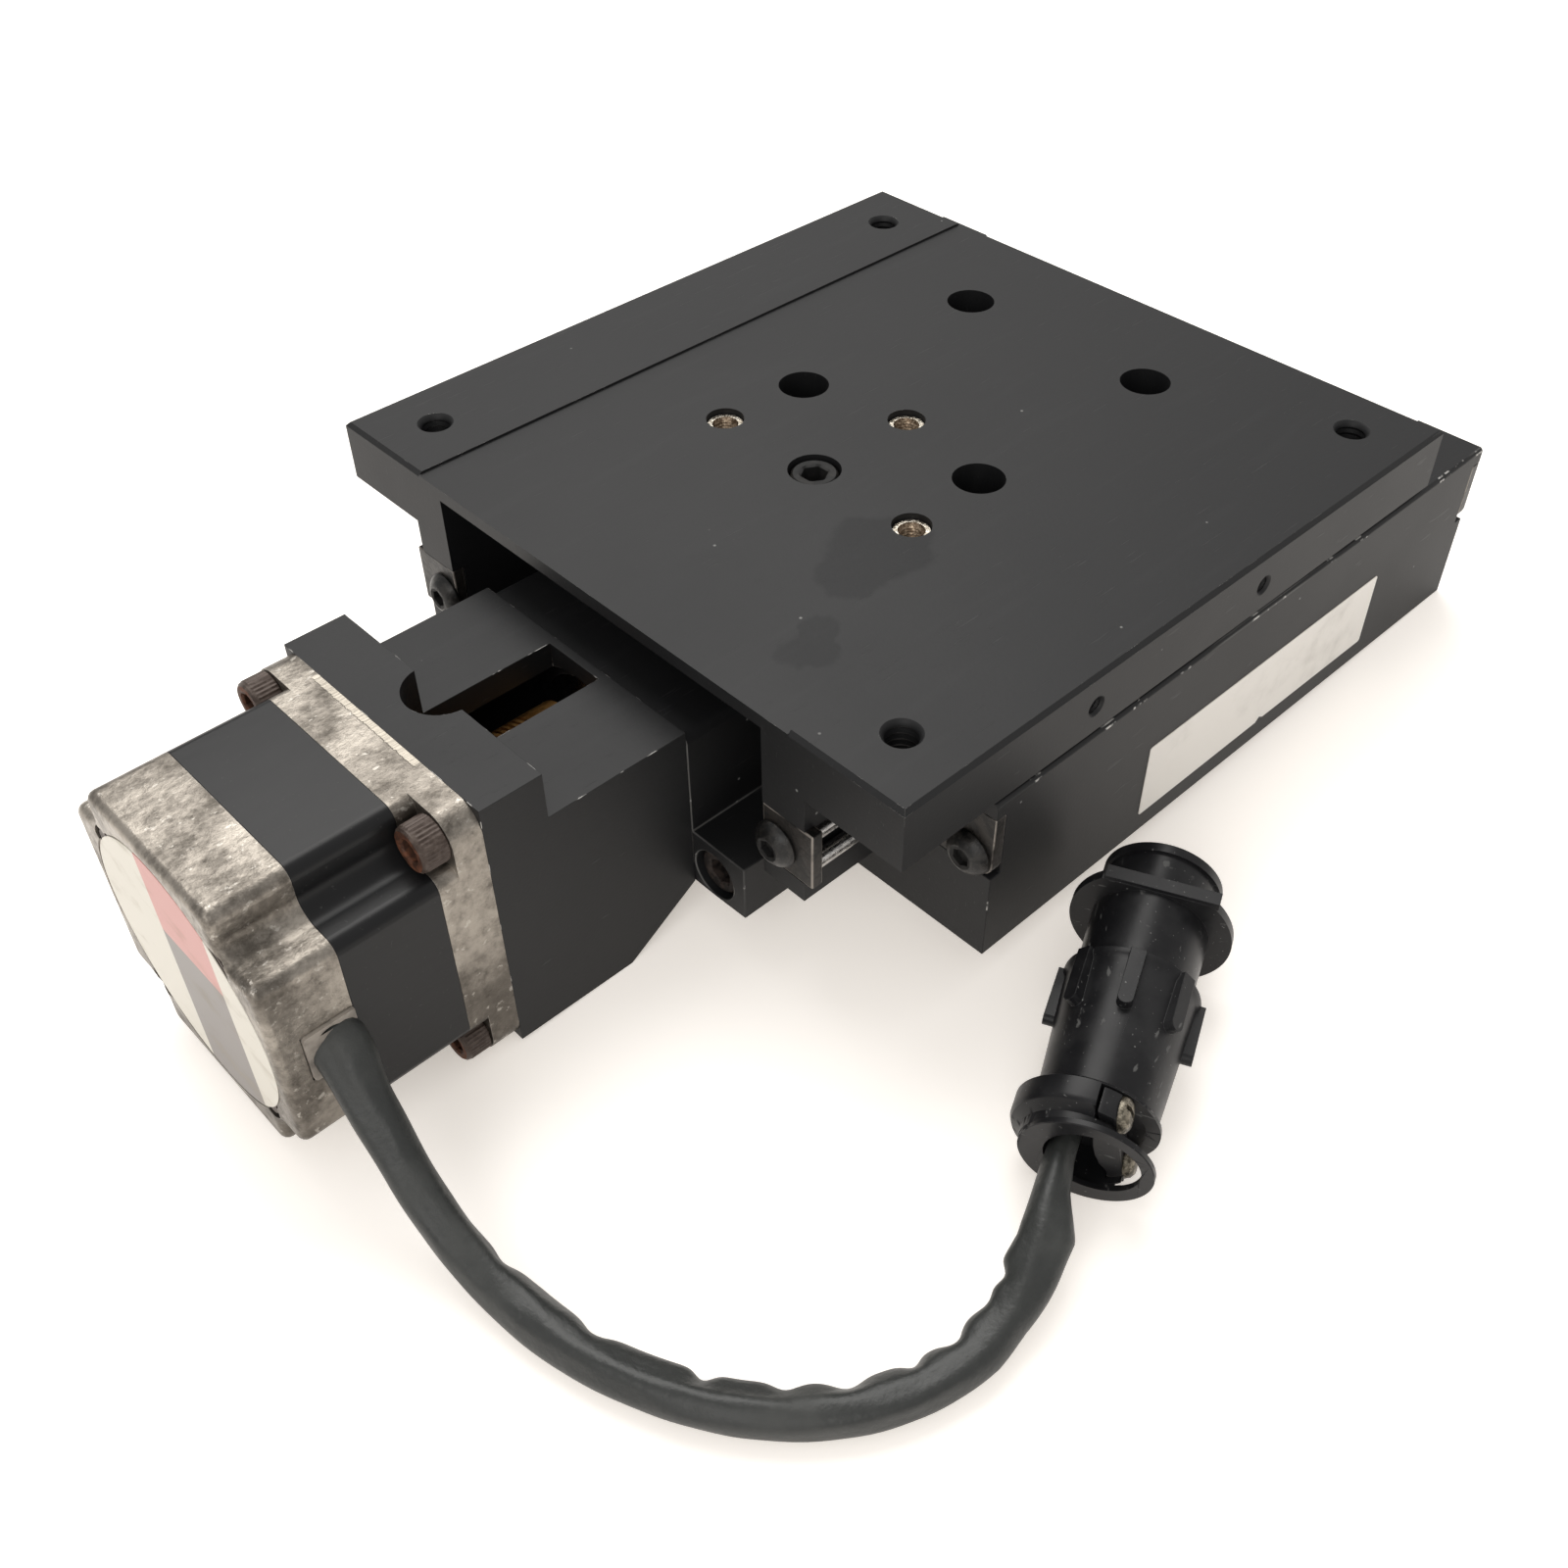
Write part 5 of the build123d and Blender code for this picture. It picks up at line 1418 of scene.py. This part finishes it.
dressed("grommet", grommet_mesh, [grommet_finish], "base", ["cable_grommet"])

# ---- Plug ----------------------------------------------------------------------------------------------
# A round plug moulded in glossy black plastic, scuffed and dusty from use. Its parts are made along their
# own Z, from the cable to the contacts, with Y up, and then laid on the table beside the base.

plug_rear = Vector((-44.36, -116.26, 12.35))
plug_heading = math.radians(25.42)
plug_pitch = math.radians(5.78)
plug_left = Vector((-math.sin(plug_heading), math.cos(plug_heading), 0))
plug_axis = Vector((math.cos(plug_heading), math.sin(plug_heading), math.tan(plug_pitch))).normalized()
plug_turn = Matrix((plug_left, plug_axis.cross(plug_left), plug_axis)).transposed().to_4x4()
plug_black = (0.008, 0.008, 0.009, 1)
plug_grey = (0.017, 0.017, 0.018, 1)
plastic, plastic_shader, place = new_finish("plug_plastic")
film = soft_step(cloud(place, 75, 5, 0.6), 0.42, 0.66)
scuffs = soft_step(cloud(place, 240, 3, 0.5, (1, 1, 5)), 0.66, 0.72)
grit = soft_step(cloud(place, 1500, 2), 0.7, 0.76)
plastic_colour = blend_colour(film, plug_black, plug_grey)
feed(
    plastic_shader,
    Base_Color=blend_colour(scuffs * 0.25 + grit * 0.5, plastic_colour, dust_white),
    Roughness=0.32 + film * 0.12 + scuffs * 0.2,
    Specular_IOR_Level=0.24,
    Normal=relief(cloud(place, 150, 3) + scuffs * 0.3, 0.00012, 0.5),
)


def plug_piece(name, mesh, node, edge=0.3, finish=plastic):
    """One piece of the plug, laid in its place."""
    mesh.transform(Matrix.Translation(plug_rear * MM) @ plug_turn)
    dressed(name, mesh, [finish], "base", [node], edge)


def along_plug(rings, x=0, y=0, sides=96, closed=False):
    """A shape turned about a line along the plug."""
    return turned(rings, (x, y, 0), UP, sides, closed)


shell_rings = [(11.4, 8.4), (8.3, 8.6), (8.3, 9.6), (8.6, 9.85), (12.0, 10.05), (24.0, 10.7), (31.6, 11.1)]
shell_rings += [(32.4, 11.6), (33.5, 11.7), (33.5, 9.6), (30.0, 9.6)]
rib_outline = rounded([(-1.3, 33.2, 0), (-1.3, 22.3, 1.25), (1.3, 22.3, 1.25), (1.3, 33.2, 0)])
rib_count = 8
ribs = []
for index in range(rib_count):
    rib = prism(rib_outline, "X", 9.8, 12.5)
    rib.transform(Matrix.Rotation(index * 2 * math.pi / rib_count, 4, "Z"))
    ribs.append(rib)
plug_piece("plug_shell", carved(along_plug(shell_rings), ribs, "UNION"), "plug_back_shell")

# the barrel's flange is cut flat on top, with a key bar across the flat
flange_radius = 14.1
flange_flat = 10.5
barrel_rings = [(31.0, 9.5), (33.4, 9.5), (33.4, 9.9), (46.8, 10.2), (46.8, flange_radius)]
barrel_rings += [(48.6, flange_radius), (48.6, 9.9), (55.8, 9.9), (55.8, 10.5), (57.6, 10.5)]
barrel_rings += [(57.6, 8.8), (40.0, 8.8)]
barrel = carved(along_plug(barrel_rings), [block((-15, flange_flat, 46.7), (15, 15, 48.7))])
key_bar = block((-10.5, 9.7, 46.9), (9.0, 11.3, 49.5))
plug_piece("plug_barrel", carved(barrel, [key_bar], "UNION"), "plug_front_shell")

face_rings = [(40.1, 8.7), (50.5, 8.7), (50.5, 2.4), (50.0, 2.2), (50.0, 0)]
plug_piece("plug_face", along_plug(face_rings, sides=64), "plug_insert", 0.15)
pin_ring_radius = 5.4
pin_rings = [(50.05, 0.8), (54.6, 0.8), (55.0, 0.5), (55.1, 0)]
pins = []
for index in range(9):
    turn = index * math.pi / 4
    reach = pin_ring_radius if index < 8 else 0.0
    pins.append(along_plug(pin_rings, reach * math.cos(turn), reach * math.sin(turn), 20))
plug_piece("plug_pins", joined(pins), "plug_contacts", 0, bronze[0])

# the clamp: a thin ring, a narrow neck and a band whose right side is open for the saddle
band_radius = 11.7
band_left = 1.1
clamp_bore = 8.3
clamp_flat = -5.4
saddle_back = -2.6
saddle_stop = 7.25
band_rings = [(0.8, clamp_bore), (0.8, 9.4), (2.4, 9.6), (3.0, 10.4), (3.5, 11.3), (4.3, band_radius)]
band_rings += [(7.5, band_radius), (8.2, 10.9), (8.2, clamp_bore)]
band = along_plug(band_rings, band_left, closed=True)
clamp_forms = [
    along_plug([(0, 10.8), (0.15, 10.95), (1.0, 10.95), (1.1, 10.8)], -0.5, -0.5),
    along_plug([(7.4, 10.7), (8.25, 10.7)]),
]
bores = [
    along_plug([(-1, 7.8), (1.3, 7.8)], -1.5),
    along_plug([(1.0, clamp_bore), (7.45, clamp_bore)]),
    along_plug([(7.0, 5.2), (9.0, 5.2)], sides=64),
]
saddle_turn = Matrix.Rotation(math.radians(-10), 4, "Z")
openings = [
    block((-14, -8.8, 1.05), (clamp_flat, 14, 7.4)),
    block((-14, 0, 2.4), (saddle_back + 0.45, 14, 7.4)),
    block((-14, -8.8, 2.4), (saddle_back + 0.05, 0.1, 7.4)),
]
for opening in openings:
    opening.transform(saddle_turn)
clamp_body = carved(carved(band, clamp_forms, "UNION"), bores + openings)
plug_piece("plug_clamp", clamp_body, "plug_cable_clamp", 0.2)

# the saddle fills the gap in the band; its rounded inner side presses on the cable
saddle_start = 2.6
saddle_low = -8.75
arc_points = 5
saddle_outline = []
for index in range(arc_points):
    x = saddle_back + (clamp_flat - saddle_back) * index / (arc_points - 1)
    saddle_outline.append((x, math.sqrt(band_radius**2 - (x - band_left) ** 2)))
saddle_outline += [(clamp_flat, saddle_low), (saddle_back, saddle_low), (saddle_back, -6.4)]
saddle_outline += [(-1.6, -4.6), (-1.1, -2.2), (-1.0, 0), (-1.1, 2.2), (-1.6, 4.6), (saddle_back, 6.4)]
saddle = prism(saddle_outline, "Z", saddle_start, saddle_stop)
saddle.transform(saddle_turn)
plug_piece("plug_saddle", saddle, "plug_clamp_saddle", 0.25)

# two slotted screws hold the saddle
head_along = 5.1
head_places = (-5.8, 7.3)
half_slot = 0.4
head_low = (0.06, 0.053, 0.04, 1)
head_high = (0.24, 0.215, 0.17, 1)
head_rings = [(-0.9, 1.4), (0, 1.4), (0, 2.85), (0.5, 2.9), (1.1, 2.7), (1.7, 2.0), (2.05, 0)]
clamp_heads = []
for y in head_places:
    head = turned(head_rings, (clamp_flat, y, head_along), TO_MOTOR, 40)
    slot_low = (clamp_flat - 2.4, y - 3, head_along - half_slot)
    slot_high = (clamp_flat - 1.0, y + 3, head_along + half_slot)
    head = carved(head, [block(slot_low, slot_high)])
    head.transform(saddle_turn)
    clamp_heads.append(head)
head_dull = metal("head_dull", head_low, head_high, steel_rubbed, 0.42, 0.9, 260)
plug_piece("plug_clamp_heads", joined(clamp_heads), "plug_clamp_screws", 0.08, head_dull[0])
